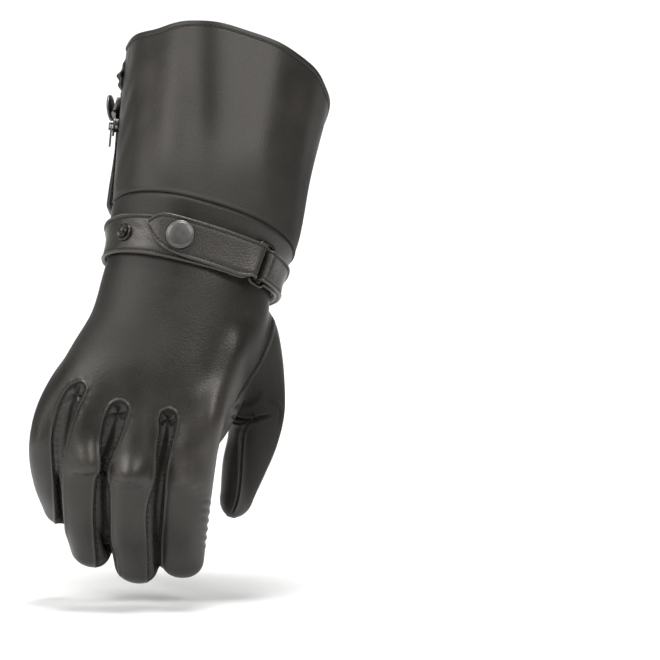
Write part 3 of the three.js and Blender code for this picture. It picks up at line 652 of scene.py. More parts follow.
def leather(name, colour, roughness, grain, depth, wear):
    made, tree, shader = shaded(name)
    shader.inputs["Specular IOR Level"].default_value = 0.5
    shader.inputs["Specular Tint"].default_value = (1, 0.965, 0.92, 1)
    group = node(tree, "ShaderNodeGroup", node_tree=LEATHER)
    group.inputs["Colour"].default_value = (*colour, 1)
    values = {"Roughness": roughness, "Grain size": grain, "Grain depth": depth, "Wear": wear}
    for key, value in values.items():
        group.inputs[key].default_value = value
    for key, socket in (("Colour", "Base Color"), ("Roughness", "Roughness"), ("Normal", "Normal")):
        tree.links.new(group.outputs[key], shader.inputs[socket])
    spread(tree, name)
    return made


# %% [markdown]
# Metal, cloth and thread
#
# The snap caps are worn nickel, the rings, the stud and the zip are blackened, and the zip's tape, the
# thread and the lining are dull cloth. A single flat colour would look like plastic. One plain finish
# serves all of them: a fine noise as bump, and a slow one that changes the gloss and the colour a little
# from place to place.

# %% All finishes by name
FINE_HEIGHT = 0.0002


def plain(name, colour, roughness, metallic=0.0, bumps=None, mottle=0.12):
    """A finish with no grain. bumps: the size and strength of a fine noise. mottle: change of gloss."""
    made, tree, shader = shaded(name)
    shader.inputs["Base Color"].default_value = (*colour, 1)
    shader.inputs["Roughness"].default_value = roughness
    shader.inputs["Metallic"].default_value = metallic
    if bumps:
        size, strength = bumps
        place = node(tree, "ShaderNodeTexCoord").outputs["Object"]
        bump = node(tree, "ShaderNodeBump")
        bump.inputs["Strength"].default_value = strength
        bump.inputs["Distance"].default_value = FINE_HEIGHT
        tree.links.new(noise_of(tree, place, size, 4).outputs["Fac"], bump.inputs["Height"])
        tree.links.new(bump.outputs["Normal"], shader.inputs["Normal"])
        slow = noise_of(tree, place, size / 4, 3).outputs["Fac"]
        gloss = sums(tree, "MULTIPLY_ADD", slow, 2 * mottle, roughness - mottle, clamp=True)
        tree.links.new(gloss, shader.inputs["Roughness"])
        darker, lighter = [0.8 * c for c in colour], [min(1.0, 1.2 * c) for c in colour]
        tree.links.new(blended(tree, "MIX", slow, darker, lighter), shader.inputs["Base Color"])
    spread(tree, name)
    return made


FINISH = {
    "hand": leather("hand_leather", (0.0118, 0.0104, 0.0085), 0.4, 1150, 0.2, 0.35),
    "side": leather("side_leather", (0.0105, 0.0093, 0.0077), 0.42, 1150, 0.24, 0.25),
    "cuff": leather("cuff_leather", (0.0138, 0.0121, 0.0099), 0.47, 1000, 0.26, 0.5),
    "strap": leather("strap_leather", (0.028, 0.0253, 0.0218), 0.38, 1050, 0.26, 0.35),
    "lining": plain("lining", (0.012, 0.0115, 0.0105), 0.9, bumps=(900, 0.4)),
    "tape": plain("zip_tape", (0.006, 0.006, 0.0058), 0.85, bumps=(2500, 0.6)),
    "thread": plain("thread", (0.03, 0.028, 0.0255), 0.5, bumps=(3000, 0.5)),
    "nickel": plain("snap_nickel", (0.135, 0.132, 0.13), 0.4, 1.0, bumps=(1600, 0.12), mottle=0.05),
    "black": plain("black_metal", (0.05, 0.048, 0.045), 0.32, 1.0, bumps=(1500, 0.15), mottle=0.06),
}

# %% [markdown]
# The hand's skin
#
# The hand, four fingers and a thumb flow into each other, and no seam may open where they meet. Joining the
# tubes with Booleans would leave long thin faces and sharp creases. A voxel remesh wraps them in one even
# skin of small quads instead, which can be smoothed, split and pushed about like the leather itself.

# %% One skin round the lofts
VOXEL = 0.95


def mesh_array(items, name, width, kind):
    """A value of every item of a mesh, as an array."""
    values = np.empty(len(items) * width, kind)
    items.foreach_get(name, values)
    return values


def voxel_skin(ring_sets, size):
    """One even skin of quads round several closed lofts, as points in mm and faces."""
    points, faces, count = [], [], 0
    for rings in ring_sets:
        mesh = outward(mesh_of("loft", *capped(rings)))
        points.append(np.array([v.co for v in mesh.vertices]) / MM)
        faces += [[count + i for i in face.vertices] for face in mesh.polygons]
        count += len(mesh.vertices)
        bpy.data.meshes.remove(mesh)
    joined = linked("joined", mesh_of("joined", np.concatenate(points), faces))
    remesh = joined.modifiers.new("skin", "REMESH")
    remesh.mode = "VOXEL"
    remesh.voxel_size = size * MM
    made = finished(joined)
    places = mesh_array(made.vertices, "co", 3, float)
    corners = mesh_array(made.loops, "vertex_index", 1, int)
    starts = mesh_array(made.polygons, "loop_start", 1, int)
    totals = mesh_array(made.polygons, "loop_total", 1, int)
    found = corners[starts[totals == 4][:, None] + np.arange(4)]
    bpy.data.meshes.remove(made)
    return places.reshape(-1, 3) / MM, found


skin, quads = voxel_skin(lofts, VOXEL)
print("hand skin:", len(skin), "points")

# %% [markdown]
# Working on the skin
#
# Three tools are enough: the normals of the skin, a smoothing that can be strong in one place and absent in
# another, and a split of chosen quads in four where a seam needs finer steps. A Subdivision Surface would
# refine the whole glove, at four times the faces for each level.

# %% Normals, smoothing and splitting
def normals_of(points, quads):
    """Unit normals at the points of a skin of quads."""
    face = np.cross(points[quads[:, 2]] - points[quads[:, 0]], points[quads[:, 3]] - points[quads[:, 1]])
    total = np.zeros_like(points)
    for k in range(4):
        for axis in range(3):
            total[:, axis] += np.bincount(quads[:, k], face[:, axis], len(points))
    return unit(total)


def relax(points, quads, weight, times):
    """Smooths points towards the mean of their neighbours, by a weight from 0 to 1 at each."""
    points = points.copy()
    ends = np.concatenate([quads[:, [k, (k + 1) % 4]] for k in range(4)])
    live = weight > 0.01
    ends = ends[live[ends[:, 0]]]
    chosen = np.flatnonzero(live)
    order = np.full(len(points), -1)
    order[chosen] = np.arange(len(chosen))
    first, second = order[ends[:, 0]], ends[:, 1]
    counts = np.bincount(first, minlength=len(chosen))[:, None]
    pull = 0.6 * weight[chosen][:, None]
    for _ in range(times):
        total = np.stack([np.bincount(first, points[second, k], len(chosen)) for k in range(3)], 1)
        points[chosen] += pull * (total / np.maximum(counts, 1) - points[chosen])
    return points


def edges_of(quads, count):
    """Both ends of each face's edges, the edges' own numbers, and which of them each face edge is."""
    edges = np.sort(np.stack([quads, np.roll(quads, -1, axis=1)], -1).reshape(-1, 2), axis=1)
    return edges, *np.unique(edges[:, 0] * count + edges[:, 1], return_inverse=True)


def refined(points, quads, chosen):
    """Splits the chosen quads in four. A neighbour with a split edge becomes a fan of triangles.

    A triangle is kept as a quad whose last two corners are the same point.
    """
    chosen = chosen & (quads[:, 2] != quads[:, 3])
    _, names, index = edges_of(quads, len(points))
    index = index.reshape(-1, 4)
    split = np.zeros(len(names), bool)
    split[index[chosen].reshape(-1)] = True
    middle_of = np.full(len(names), -1)
    middle_of[split] = len(points) + np.arange(split.sum())
    ends = np.stack([names[split] // len(points), names[split] % len(points)], 1)
    count = len(points) + len(ends)
    centre = count + np.arange(chosen.sum())
    corner, middle = quads[chosen], middle_of[index[chosen]]
    made = [np.stack([corner[:, k], middle[:, k], centre, middle[:, k - 1]], 1) for k in range(4)]
    count += len(centre)
    touched = ~chosen & split[index].any(1)
    fans = []
    for face in np.flatnonzero(touched):
        loop = []
        for k in range(4):
            for point in (quads[face, k], middle_of[index[face, k]]):
                if point >= 0 and (not loop or loop[-1] != point):
                    loop.append(point)
        loop = loop[:-1] if loop[-1] == loop[0] else loop
        fans += [(a, b, count, count) for a, b in zip(loop, loop[1:] + loop[:1])]
        count += 1
    added = [points[ends].mean(1), points[corner].mean(1), points[quads[touched]].mean(1)]
    faces = [quads[~chosen & ~touched], *made, np.array(fans, int).reshape(-1, 4)]
    return np.concatenate([points, *added]), np.concatenate(faces)


def facing(points, normals):
    """How squarely points face the camera, from -1 to 1."""
    return -(unit(points - CAMERA_MM) * normals).sum(1)


print("share of the skin in view:", round(float((facing(skin, normals_of(skin, quads)) > 0).mean()), 2))

# %% [markdown]
# Where seams and folds run
#
# Between two fingers a glover sets a narrow strip, the fourchette. It ends in a small U below the knuckles,
# its two seams run down the fingers, and a crack opens in its middle. Such lines could be drawn on the flat
# pattern, but here they are measured as pixels, because each point of the skin knows its pixel. Lines on
# the palm side are in x and z in millimetres.

# %% Lines of the back, the thumb and the palm
CHANNELS = {
    "fourchette_little_ring": {
        "left": [(57, 540), (57, 523), (55, 484), (53, 456), (53, 440), (55, 424), (60, 403), (69, 388)],
        "right": [
            *[(79, 382), (85, 387), (82, 397), (75, 412), (67, 438)],
            *[(63, 460), (62, 480), (63, 508), (65, 540)],
        ],
        "crack": [(75, 393), (70, 406), (64, 432), (62, 452), (61, 472), (61, 500), (62, 540)],
        "centre": (77, 395),
    },
    "fourchette_ring_middle": {
        "left": [(97, 590), (97, 564), (95, 535), (94, 508), (97, 465), (103, 427), (108, 411), (114, 403)],
        "right": [
            *[(122, 402), (128, 409), (125, 422), (117, 445), (111, 465)],
            *[(110, 485), (110, 538), (115, 555), (120, 590)],
        ],
        "crack": [
            *[(119, 408), (113, 427), (108, 448), (104, 470)],
            *[(103, 505), (106, 539), (112, 556), (114, 590)],
        ],
        "centre": (118, 413),
    },
    "fourchette_middle_index": {
        "left": [
            *[(148, 600), (148, 575), (147, 538), (147, 510), (154, 480)],
            *[(157, 452), (160, 432), (160, 419), (163, 412)],
        ],
        "right": [
            *[(170, 410), (176, 416), (175, 430), (169, 455)],
            *[(165, 480), (161, 528), (160, 562), (160, 600)],
        ],
        "crack": [(168, 417), (167, 432), (164, 455), (160, 480), (158, 512), (158, 545), (158, 600)],
        "centre": (168, 420),
    },
}
KNUCKLES = table(
    "at wide high above below",
    ((89, 466), 17, 5.6, 17, 9),
    ((130, 477), 17, 5.8, 17, 9),
    ((189, 482), 14, 3.8, 20, 10),
    ((43, 442), 10, 1.2, 18, 9),
)
THUMB_SEAM = [
    *[(276, 292), (275, 302), (272, 322), (269, 338), (261, 358)],
    *[(252, 374), (246, 384), (240, 393), (232, 406)],
]
THUMB_MIDDLE = [
    *[(252, 420), (246, 427), (243, 436), (242, 448)],
    *[(241, 462), (240, 480), (237, 500), (232, 514)],
]
THUMB_ROOT = [(262, 288), (252, 312), (240, 340), (228, 370), (222, 396), (219, 412)]
RIDGE = [(243, 318), (240, 340), (229, 372), (219, 400), (211, 430), (205, 462)]
FOLDS = table(
    "line deep wide lip",
    ([(229, 415), (240, 419), (251, 420), (262, 417), (273, 414)], 1.5, 1.7, 0.5),
    ([(231, 421), (240, 423), (250, 422)], 0.8, 1.3, 0.3),
    ([(232, 407), (242, 405), (254, 399), (263, 389)], 0.5, 2.6, 0.2),
    ([(268, 399), (275, 404), (279, 412), (278, 426)], 0.45, 1.5, 0.3),
    ([(250, 412), (255, 419), (259, 424)], 0.5, 1.3, 0.2),
    ([(178, 484), (190, 487), (204, 485)], 0.5, 3.0, 0.0),
    ([(114, 480), (127, 482), (139, 478)], 0.6, 3.0, 0.0),
    ([(74, 472), (84, 476), (94, 472)], 0.6, 3.0, 0.0),
)
THUMB_FOLDS = 5
PALM_FOLDS = table(
    "line deep wide",
    ([(-14, -22), (-26, -25), (-40, -32)], 1.1, 2.6),
    ([(18, -60), (10, -63), (3, -67)], 0.6, 1.8),
    ([(29, -84), (23, -78), (15, -74)], 0.6, 2.0),
    ([(13, -77), (7, -74), (1, -73)], 0.5, 1.6),
    ([(8, -88), (2, -91), (-2, -93)], 0.5, 1.6),
    ([(-30, -80), (-44, -84), (-58, -86)], 0.9, 3.2),
    ([(4, -122), (-2, -120), (-10, -120)], 0.7, 2.0),
    ([(4, -148), (-3, -146), (-12, -146)], 0.8, 1.8),
    ([(-24, -150), (-32, -148), (-40, -148)], 0.8, 1.8),
    ([(-50, -142), (-57, -141), (-64, -140)], 0.8, 1.8),
    ([(-68, -122), (-74, -121), (-80, -120)], 0.6, 1.6),
)


def smooth_line(points, count=48):
    return spline(np.array(points, float), np.linspace(0, 1, count))


OUTLINES = {name: smooth_line(channel["left"] + channel["right"], 110) for name, channel in CHANNELS.items()}
CRACKS = {name: smooth_line(channel["crack"]) for name, channel in CHANNELS.items()}
print("lines:", len(OUTLINES) + len(CRACKS) + len(FOLDS) + len(PALM_FOLDS) + 3)

# %% [markdown]
# Distances in the picture
#
# A seam is a profile across a line: sunk on the line itself, with a rolled lip beside it. So all that a
# seam needs is how far each point of the skin is from the line, how far along it, and on which side. A
# painted mask could say the same, but only as fine as its pixels.

# %% How far points are from lines
def to_line(px, line, reach=1e9):
    """Distance of pixels from a line, the share along it, and the side they are on."""
    best, share, side = np.full(len(px), 1e6), np.zeros(len(px)), np.ones(len(px))
    low, high = line.min(0) - reach, line.max(0) + reach
    near = np.flatnonzero(((px > low) & (px < high)).all(1))
    spot = px[near]
    found, at, left = best[near], share[near], side[near]
    for i in range(len(line) - 1):
        a, step = line[i], line[i + 1] - line[i]
        t = np.clip(((spot - a) @ step) / (step @ step), 0, 1)
        off = spot - a - t[:, None] * step
        far = np.hypot(off[:, 0], off[:, 1])
        closer = far < found
        found[closer] = far[closer]
        at[closer] = (i + t[closer]) / (len(line) - 1)
        left[closer] = np.sign(step[0] * off[closer, 1] - step[1] * off[closer, 0])
    best[near], share[near], side[near] = found, at, left
    return best, share, side


def inside(px, line):
    """Whether pixels are inside a closed outline."""
    odd = np.zeros(len(px), bool)
    for a, b in zip(line, np.roll(line, -1, axis=0)):
        crosses = (a[1] > px[:, 1]) != (b[1] > px[:, 1])
        at = a[0] + (px[:, 1] - a[1]) * (b[0] - a[0]) / np.where(b[1] == a[1], 1e-9, b[1] - a[1])
        odd ^= crosses & (px[:, 0] < at)
    return odd


def hill(px, centre, across, tall, below=None):
    """A soft round hill from 0 to 1, with its widths in pixels. below: its reach downwards."""
    x, y = (px - np.array(centre, float)).T
    return np.exp(-((x / across) ** 2) - (y / np.where(y > 0, below or tall, tall)) ** 2)


def ends_faded(share, first=0.06, last=0.06):
    return smoothstep(0, first, share) * (1 - smoothstep(1 - last, 1, share))


counts = [int(inside(pixels_of(skin), line).sum()) for line in OUTLINES.values()]
print("points inside the strips:", counts)

# %% [markdown]
# Smoothing where the tubes meet
#
# Leather drawn over a hand bridges the hollows between knuckles. The remeshed tubes meet there in shelves
# instead. A smoothing of the whole glove would shrink the fingers, so only the knuckles, the thumb's root
# and the strips between the fingers are smoothed well, and the rest just enough to lose the steps of the
# voxels. A finer skin needs more passes for the same reach.

# %% Smoothing
SHELF_PASSES = int(260 * (0.8 / VOXEL) ** 2)
STRIP_PASSES = int(320 * (0.95 / VOXEL) ** 2)

px = pixels_of(skin)
seen = smoothstep(-0.1, 0.4, facing(skin, normals_of(skin, quads)))
knuckles = smoothstep(318, 350, px[:, 1]) * (1 - smoothstep(420, 452, px[:, 1]))
knuckles *= 1 - smoothstep(222, 236, px[:, 0])
root = bell(to_line(px, smooth_line(THUMB_ROOT), 60)[0], 17)
skin = relax(skin, quads, np.clip(seen * np.maximum(knuckles, root), 0, 1), SHELF_PASSES)
skin = relax(skin, quads, np.full(len(skin), 0.8), 4)

px = pixels_of(skin)
strips = np.zeros(len(skin))
for line in OUTLINES.values():
    strips = np.maximum(strips, inside(px, line) * (1 - smoothstep(500, 540, px[:, 1])))
seen = smoothstep(-0.75, -0.5, facing(skin, normals_of(skin, quads)))
skin = relax(skin, quads, strips * seen, STRIP_PASSES)
print("smoothed:", SHELF_PASSES, "and", STRIP_PASSES, "times")

# %% [markdown]
# Finer quads for the seams
#
# A seam's groove is under a millimetre wide, narrower than a quad of the skin. A finer voxel everywhere
# would give millions of faces, so the quads near a line are split in four, and those close to it once more.

# %% Splitting near the lines
FRONT_LINES = [smooth_line(THUMB_SEAM), smooth_line(THUMB_MIDDLE)]
FRONT_LINES += [smooth_line(fold["line"], 20) for fold in FOLDS[:THUMB_FOLDS]]
for reach in (6.0, 2.6):
    px = pixels_of(skin[quads].mean(1))
    near = np.zeros(len(quads), bool)
    for line in [*OUTLINES.values(), *CRACKS.values(), *FRONT_LINES]:
        near |= to_line(px, line, reach + 1)[0] < reach
    front = facing(skin, normals_of(skin, quads))[quads].mean(1) > -0.1
    skin, quads = refined(skin, quads, near & front)
print("hand skin with fine seams:", len(skin), "points")

# %% [markdown]
# Knuckles
#
# Bent fingers push their knuckles against the leather, which shines on top of each and falls off steeply
# below. Bumps in the material would not change the outline, so the skin itself is lifted. A long soft ridge
# runs from the wrist to the index finger, and a slow unevenness keeps the back from looking like a casting.

# %% Knuckles and the ridge
px = pixels_of(skin)
normals = normals_of(skin, quads)
seen = smoothstep(0.02, 0.3, facing(skin, normals))
shift = np.zeros(len(skin))
for bump in KNUCKLES:
    shift += bump["high"] * hill(px, bump["at"], bump["wide"], bump["above"], bump["below"])
far, share, _ = to_line(px, smooth_line(RIDGE), 40)
shift += 3.0 * bell(far, 12) * ends_faded(share, 0.3, 0.3)
shift += 0.3 * np.sin(px[:, 0] / 17 + px[:, 1] / 31) * np.sin(px[:, 1] / 23 - px[:, 0] / 40)
skin += normals * (shift * seen)[:, None]
print("highest bump:", round(float((shift * seen).max()), 1), "mm")

# %% [markdown]
# Painted highlights, painted shade and wear
#
# Two values are kept for each point of the skin, and the material reads them later. One makes the leather
# paler and glossier: a painted highlight on the knuckles and along the ridge, and wear on the lips of the
# seams. The other is painted shade, in the seams, cracks and folds, on the thumb's side and on the upper left
# of the back.

# %% First values of the painted highlight and the painted shade
normals = normals_of(skin, quads)
shift, dark, worn = np.zeros(len(skin)), np.zeros(len(skin)), np.zeros(len(skin))
# Painted highlight: the knuckles and the ridge get a paler, glossier colour where the lamps should shine.
for bump in KNUCKLES[:3]:
    worn += 1.1 * hill(px, np.subtract(bump["at"], (3, 12)), 9, 13)
worn += 0.9 * bell(to_line(px, smooth_line(RIDGE), 30)[0], 13) * smoothstep(350, 400, px[:, 1])
# Painted shade on the thumb's side, which is turned away from the lamps, and on the upper left of the back.
thumb_painted_shade = 0.9 * smoothstep(236, 250, px[:, 0]) * smoothstep(320, 400, px[:, 1])
dark += thumb_painted_shade * (1 - smoothstep(480, 540, px[:, 1]))
dark += 0.32 * (1 - smoothstep(330, 380, px[:, 1])) * (1 - smoothstep(150, 190, px[:, 0]))
print("rubbed points:", int((worn > 0.5).sum()))

# %% [markdown]
# The strips between the fingers
#
# Each strip is sunk between two seams with rolled lips. The leather puckers round its U, where too much of
# it has to go round too tight a bend, and the crack in the middle is the shadow between the fingers. Painted
# shade darkens that crack, the seams and the puckers' hollows. Folds like these could be sculpted, but as
# sums of waves and bells they are the same in every run, and each can be tuned alone.

# %% Seams, puckers and cracks of the strips
in_channel = np.full(len(skin), -1)
for k, (name, channel) in enumerate(CHANNELS.items()):
    far, share, _ = to_line(px, OUTLINES[name], 30)
    within = inside(px, OUTLINES[name])
    depth = np.where(within, far, -far)
    crack, down, _ = to_line(px, CRACKS[name], 30)
    shift += np.where(within, 0, 0.55 * bell(depth + 1.7, 1.3)) - 0.6 * bell(depth - 0.2, 0.8)
    shift -= 0.9 * smoothstep(0.4, 2.4, depth)
    shift -= (1.5 * bell(crack, 1.3) + 0.7 * bell(crack, 3)) * within * smoothstep(0.03, 0.25, down)
    around = px - np.array(channel["centre"], float)
    angle, reach = np.arctan2(around[:, 1], around[:, 0]), np.hypot(around[:, 0], around[:, 1])
    pucker = 0.8 * np.cos(3 * (angle - 1.4 - 0.15 * k)) + 0.3 * np.cos(7 * angle + k + 0.3 * reach)
    shift += 1.1 * within * bell(reach - 5, 7) * pucker * smoothstep(0.2, 2.2, depth)
    shift += 0.1 * ~within * bell(depth + 4, 3) * bell(reach, 24) * np.sin(8 * angle + k)
    shift += 0.16 * within * bell(depth - 2, 2) * np.sin(0.9 * px[:, 1] + 1.3 * np.sin(0.31 * px[:, 1] + k))
    # Painted shade in the seams' grooves, in the crack between the fingers, a little over the whole strip,
    # and in the hollows of the puckers.
    dark += 1.0 * bell(depth - 0.2, 0.9) + within * bell(crack, 1.5) + 0.15 * within
    dark += 0.5 * within * bell(reach - 4, 6) * (1 - smoothstep(-0.6, 0.9, pucker))
    worn += 0.8 * bell(depth + 1.9, 1.1) * ~within
    in_channel[within & (seen > 0.05)] = k
print("points in the strips:", [int((in_channel == k).sum()) for k in range(len(CHANNELS))])

# %% [markdown]
# The thumb's seams and the folds
#
# The thumb is a pouch of its own, sewn into the hand, with a seam down its middle. Where it turns in, the
# leather folds. The thumb's side of the first seam stands higher, because it is the piece that is turned
# under.

# %% Seams and folds
# Each seam's groove gets painted shade, and its raised lip is paler where it rubs.
far, share, side = to_line(px, smooth_line(THUMB_SEAM), 12)
line = ends_faded(share, 0.06, 0.15)
lip = bell(far - 1.7, 1.2)
shift += line * (-0.55 * bell(far, 0.8) + 0.55 * lip * (side < 0) + 0.15 * lip * (side > 0))
dark += line * bell(far, 0.8)
worn += line * 0.9 * bell(far - 1.5, 0.9) * (side < 0)
far, share, side = to_line(px, smooth_line(THUMB_MIDDLE), 12)
line = ends_faded(share, 0.1, 0.05)
shift += line * (-0.7 * bell(far, 0.8) + 0.5 * bell(far - 1.8, 1.3))
dark += line * bell(far, 0.9)
worn += line * 0.6 * bell(far - 1.7, 1.0) * (side > 0)
for fold in FOLDS:
    wide = fold["wide"]
    far, share, _ = to_line(px, smooth_line(fold["line"], 20), 20)
    line = ends_faded(share, 0.2, 0.25)
    shift += line * (fold["lip"] * bell(far - 2 * wide, 1.2 * wide) - fold["deep"] * bell(far, wide))
    # Painted shade in the grooves of the folds that have a lip.
    dark += 0.7 * line * bell(far, wide) * (fold["lip"] > 0)
skin += normals * (shift * seen)[:, None]
dark, worn = dark * seen, worn * seen
print("deepest fold:", round(float((shift * seen).min()), 1), "mm")

# %% [markdown]
# The fingertip's puckers and the tucked end
#
# The seam at the end of the index finger gathers its outer edge in small even puckers, which show in the
# outline. The hand's wrist end is tucked in under the cuff, so it is drawn in a little and given painted
# shade.

# %% Puckers and tuck
WRIST = {"point": np.array([3.0, 0.0, 3.0]), "slope": 16.0, "lean": 26.0}
PUCKER = {"high": 0.35, "pitch": 8.5, "px": 207}


def along_of(points):
    """How far points near the wrist are up the arm from the wrist seam, in mm."""
    slope, lean = math.radians(WRIST["slope"]), math.radians(WRIST["lean"])
    normal = np.array([math.sin(slope) * math.cos(lean), math.sin(lean), math.cos(slope) * math.cos(lean)])
    return (points - WRIST["point"]) @ normal


tip = smoothstep(492, 502, px[:, 1]) * (1 - smoothstep(545, 552, px[:, 1]))
pucker = np.sin(px[:, 1] * 2 * np.pi / PUCKER["pitch"]) * tip
pucker = PUCKER["high"] * pucker * bell(px[:, 0] - PUCKER["px"], 5) * (px[:, 0] > 196) * (skin[:, 1] < 5)
skin += normals * pucker[:, None]

tuck = smoothstep(-1.2, 0.2, along_of(skin))
skin -= normals_of(skin, quads) * (0.9 * tuck)[:, None]
# Painted shade where the hand goes in under the cuff.
dark = np.maximum(dark, 0.8 * smoothstep(-2.2, -0.2, along_of(skin)))
print("top of the hand under the cuff:", round(float(along_of(skin).max()), 1), "mm")

# %% [markdown]
# Which leather a face belongs to
#
# The hand is cut from a back, a palm, two thumb pieces and three strips. The skin is one mesh so far, and
# has to be sorted into them. It could be cut along planes, but a glove's seams wander. So a face goes to
# the solid that is nearest to it, and the places where two such pieces meet are the palm side's seams.

# %% Nearest solids and the seams between them
HAND_NODES = ["hand_back", "hand_palm", "thumb_outer", "thumb_inner", *CHANNELS]
PALM_PAIRS = [(1, 3), (2, 3), (1, 4), (1, 5), (1, 6)]


def nearest_node(points, names):
    """For points in mm, the index of the solid that is nearest."""
    corners, polygons, owner = [], [], []
    for k, name in enumerate(names):
        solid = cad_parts[name]
        start = len(corners)
        corners += [solid.matrix_world @ v.co for v in solid.data.vertices]
        polygons += [[start + i for i in face.vertices] for face in solid.data.polygons]
        owner += [k] * len(solid.data.polygons)
    tree = BVHTree.FromPolygons(corners, polygons)
    return np.array([owner[tree.find_nearest(Vector(point * MM))[2]] for point in points])


def boundary_points(quads, sort, points, pairs):
    """Middles of the edges between faces of two pieces, evened out into smooth lines."""
    edges, names, index = edges_of(quads, len(points))
    whole = edges[:, 0] != edges[:, 1]
    owner, index = np.repeat(sort, 4)[whole], index.reshape(-1)[whole]
    low, high = np.full(len(names), 99), np.full(len(names), -1)
    np.minimum.at(low, index, owner)
    np.maximum.at(high, index, owner)
    found = []
    for pair in pairs:
        chosen = names[(low == pair[0]) & (high == pair[1])]
        line = (points[chosen // len(points)] + points[chosen % len(points)]) / 2
        for _ in range(3):
            near = np.linalg.norm(line[:, None] - line[None], axis=2) < 4.0
            line = near @ line / near.sum(1, keepdims=True)
        first, second = np.nonzero(np.triu(np.linalg.norm(line[:, None] - line[None], axis=2) < 2.4))
        found += [line[first] * (1 - t) + line[second] * t for t in (0, 0.33, 0.67)]
    return np.concatenate(found)


def distance_to(points, line):
    """Distance in mm from points to the nearest of a line's points."""
    tree = KDTree(len(line))
    for k, place in enumerate(line):
        tree.insert(place, k)
    tree.balance()
    box = ((points > line.min(0) - 6) & (points < line.max(0) + 6)).all(1)
    far = np.full(len(points), 99.0)
    for k in np.flatnonzero(box):
        far[k] = tree.find(points[k])[2]
    return far


middle = skin[quads].mean(1)
kept = along_of(middle) < 1.5
quads, middle = quads[kept], middle[kept]
palm_seams = boundary_points(quads, nearest_node(middle, HAND_NODES), skin, PALM_PAIRS)
print("points of the palm's seams:", len(palm_seams))

# %% [markdown]
# Seams and creases of the palm
#
# The palm side gets the same treatment as the back: finer quads near its seams, a groove with lips along
# them, and shallow creases where the hand bends, with painted shade in the grooves and creases. It fades out
# where the back's own seams take over.

# %% The palm side
columns = np.column_stack([skin, seen, dark, worn, in_channel])
for reach in (2.6, 1.5):
    near = distance_to(columns[:, :3][quads].mean(1), palm_seams) < reach
    columns, quads = refined(columns, quads, near & (columns[:, 3][quads].max(1) < 0.3))
skin, seen, dark, worn, in_channel = columns[:, :3].copy(), *columns[:, 3:].T
normals = normals_of(skin, quads)
unseen = 1 - smoothstep(0, 0.4, seen)
far = distance_to(skin, palm_seams)
shift = 0.4 * bell(far - 1.6, 1.1) - 0.6 * bell(far, 0.75)
for fold in PALM_FOLDS:
    wide, deep = fold["wide"], fold["deep"]
    away, share, _ = to_line(skin[:, [0, 2]], smooth_line(fold["line"], 20), 12)
    line = ends_faded(share, 0.3, 0.3) * smoothstep(0.0, 0.5, normals[:, 1])
    shift += line * (0.4 * deep * bell(away - 2 * wide, 1.4 * wide) - deep * bell(away, wide))
    # Painted shade in the creases.
    dark += 0.3 * line * bell(away, wide)
skin += normals * (shift * unseen)[:, None]
# Painted shade in the seams' grooves; the lips beside them are paler where they rub.
dark = dark + unseen * bell(far, 0.75)
worn = worn + 0.5 * unseen * bell(far - 1.6, 0.9)
print("hand skin with the palm's seams:", len(skin), "points")

# %% [markdown]
# Cutting the skin into its leathers
#
# Now the faces are sorted for good. On the back of the hand the measured seams decide, because there the
# nearest solid's facets would cut a ragged line. The pieces share their edge points, so no gap opens
# between them.

# %% The hand's pieces
middle = skin[quads].mean(1)
sort = nearest_node(middle, HAND_NODES)
face_px = pixels_of(middle)
face_seen = seen[quads].mean(1) > 0.25
channel = np.median(in_channel[quads], axis=1).astype(int)
front = face_seen & np.isin(sort, [0, 4, 5, 6])
sort[front] = np.where(channel[front] >= 0, 4 + channel[front], 0)
_, _, side = to_line(face_px, smooth_line(THUMB_SEAM))
by_seam = face_seen & (face_px[:, 1] > 292) & (face_px[:, 1] < 412) & (face_px[:, 0] > 222)
sort[by_seam] = np.where(side[by_seam] < 0, 2, 0)


def drawn(faces):
    """Faces of the skin as lists, with its triangles as three corners."""
    return [face[:3] if face[2] == face[3] else face for face in faces.tolist()]


for k, name in enumerate(HAND_NODES):
    used, order = np.unique(quads[sort == k], return_inverse=True)
    mesh = shade(mesh_of(name, skin[used], drawn(order.reshape(-1, 4))), dark=dark[used], worn=worn[used])
    kind = "side" if name in CHANNELS else "hand"
    piece(name + "_leather", mesh, FINISH[kind], [name])

# %% [markdown]
# The lining
#
# Through the cuff's mouth one looks down into the hand. A plain dark lining closes that view. It could be a
# copy of the skin moved inwards, but such a copy folds over itself between the fingers. A second, coarser
# skin round the same lofts has no narrow places, and only its upper part is kept, with its faces turned to
# the inside.

# %% Inside of the hand
LINING = {"voxel": 2.5, "sunk": HAND_WALL + 1.2, "middle": -32, "half": 34}
inner, inner_quads = voxel_skin(lofts, LINING["voxel"])
inner = relax(inner, inner_quads, np.full(len(inner), 0.8), 6)
inner -= normals_of(inner, inner_quads) * LINING["sunk"]
kept = np.abs(along_of(inner[inner_quads].mean(1)) - LINING["middle"]) < LINING["half"]
used, order = np.unique(inner_quads[kept], return_inverse=True)
mesh = mesh_of("hand_lining", inner[used], order.reshape(-1, 4)[:, ::-1].tolist())
piece("hand_lining", mesh, FINISH["lining"])

# %% [markdown]
# The cuff
#
# The gauntlet is cut from stiffer leather: a back, a palm and two narrow panels beside the zip, each with a
# turned hem at the rim and a rolled edge at the wrist seam. A plane with Solidify would have the same wall
# everywhere. Two grids of points, one for each face, can roll the edges, sink the hem's stitching and stay
# flat inside. Slow waves and a few slanting wrinkles make it hang like leather, not like card.

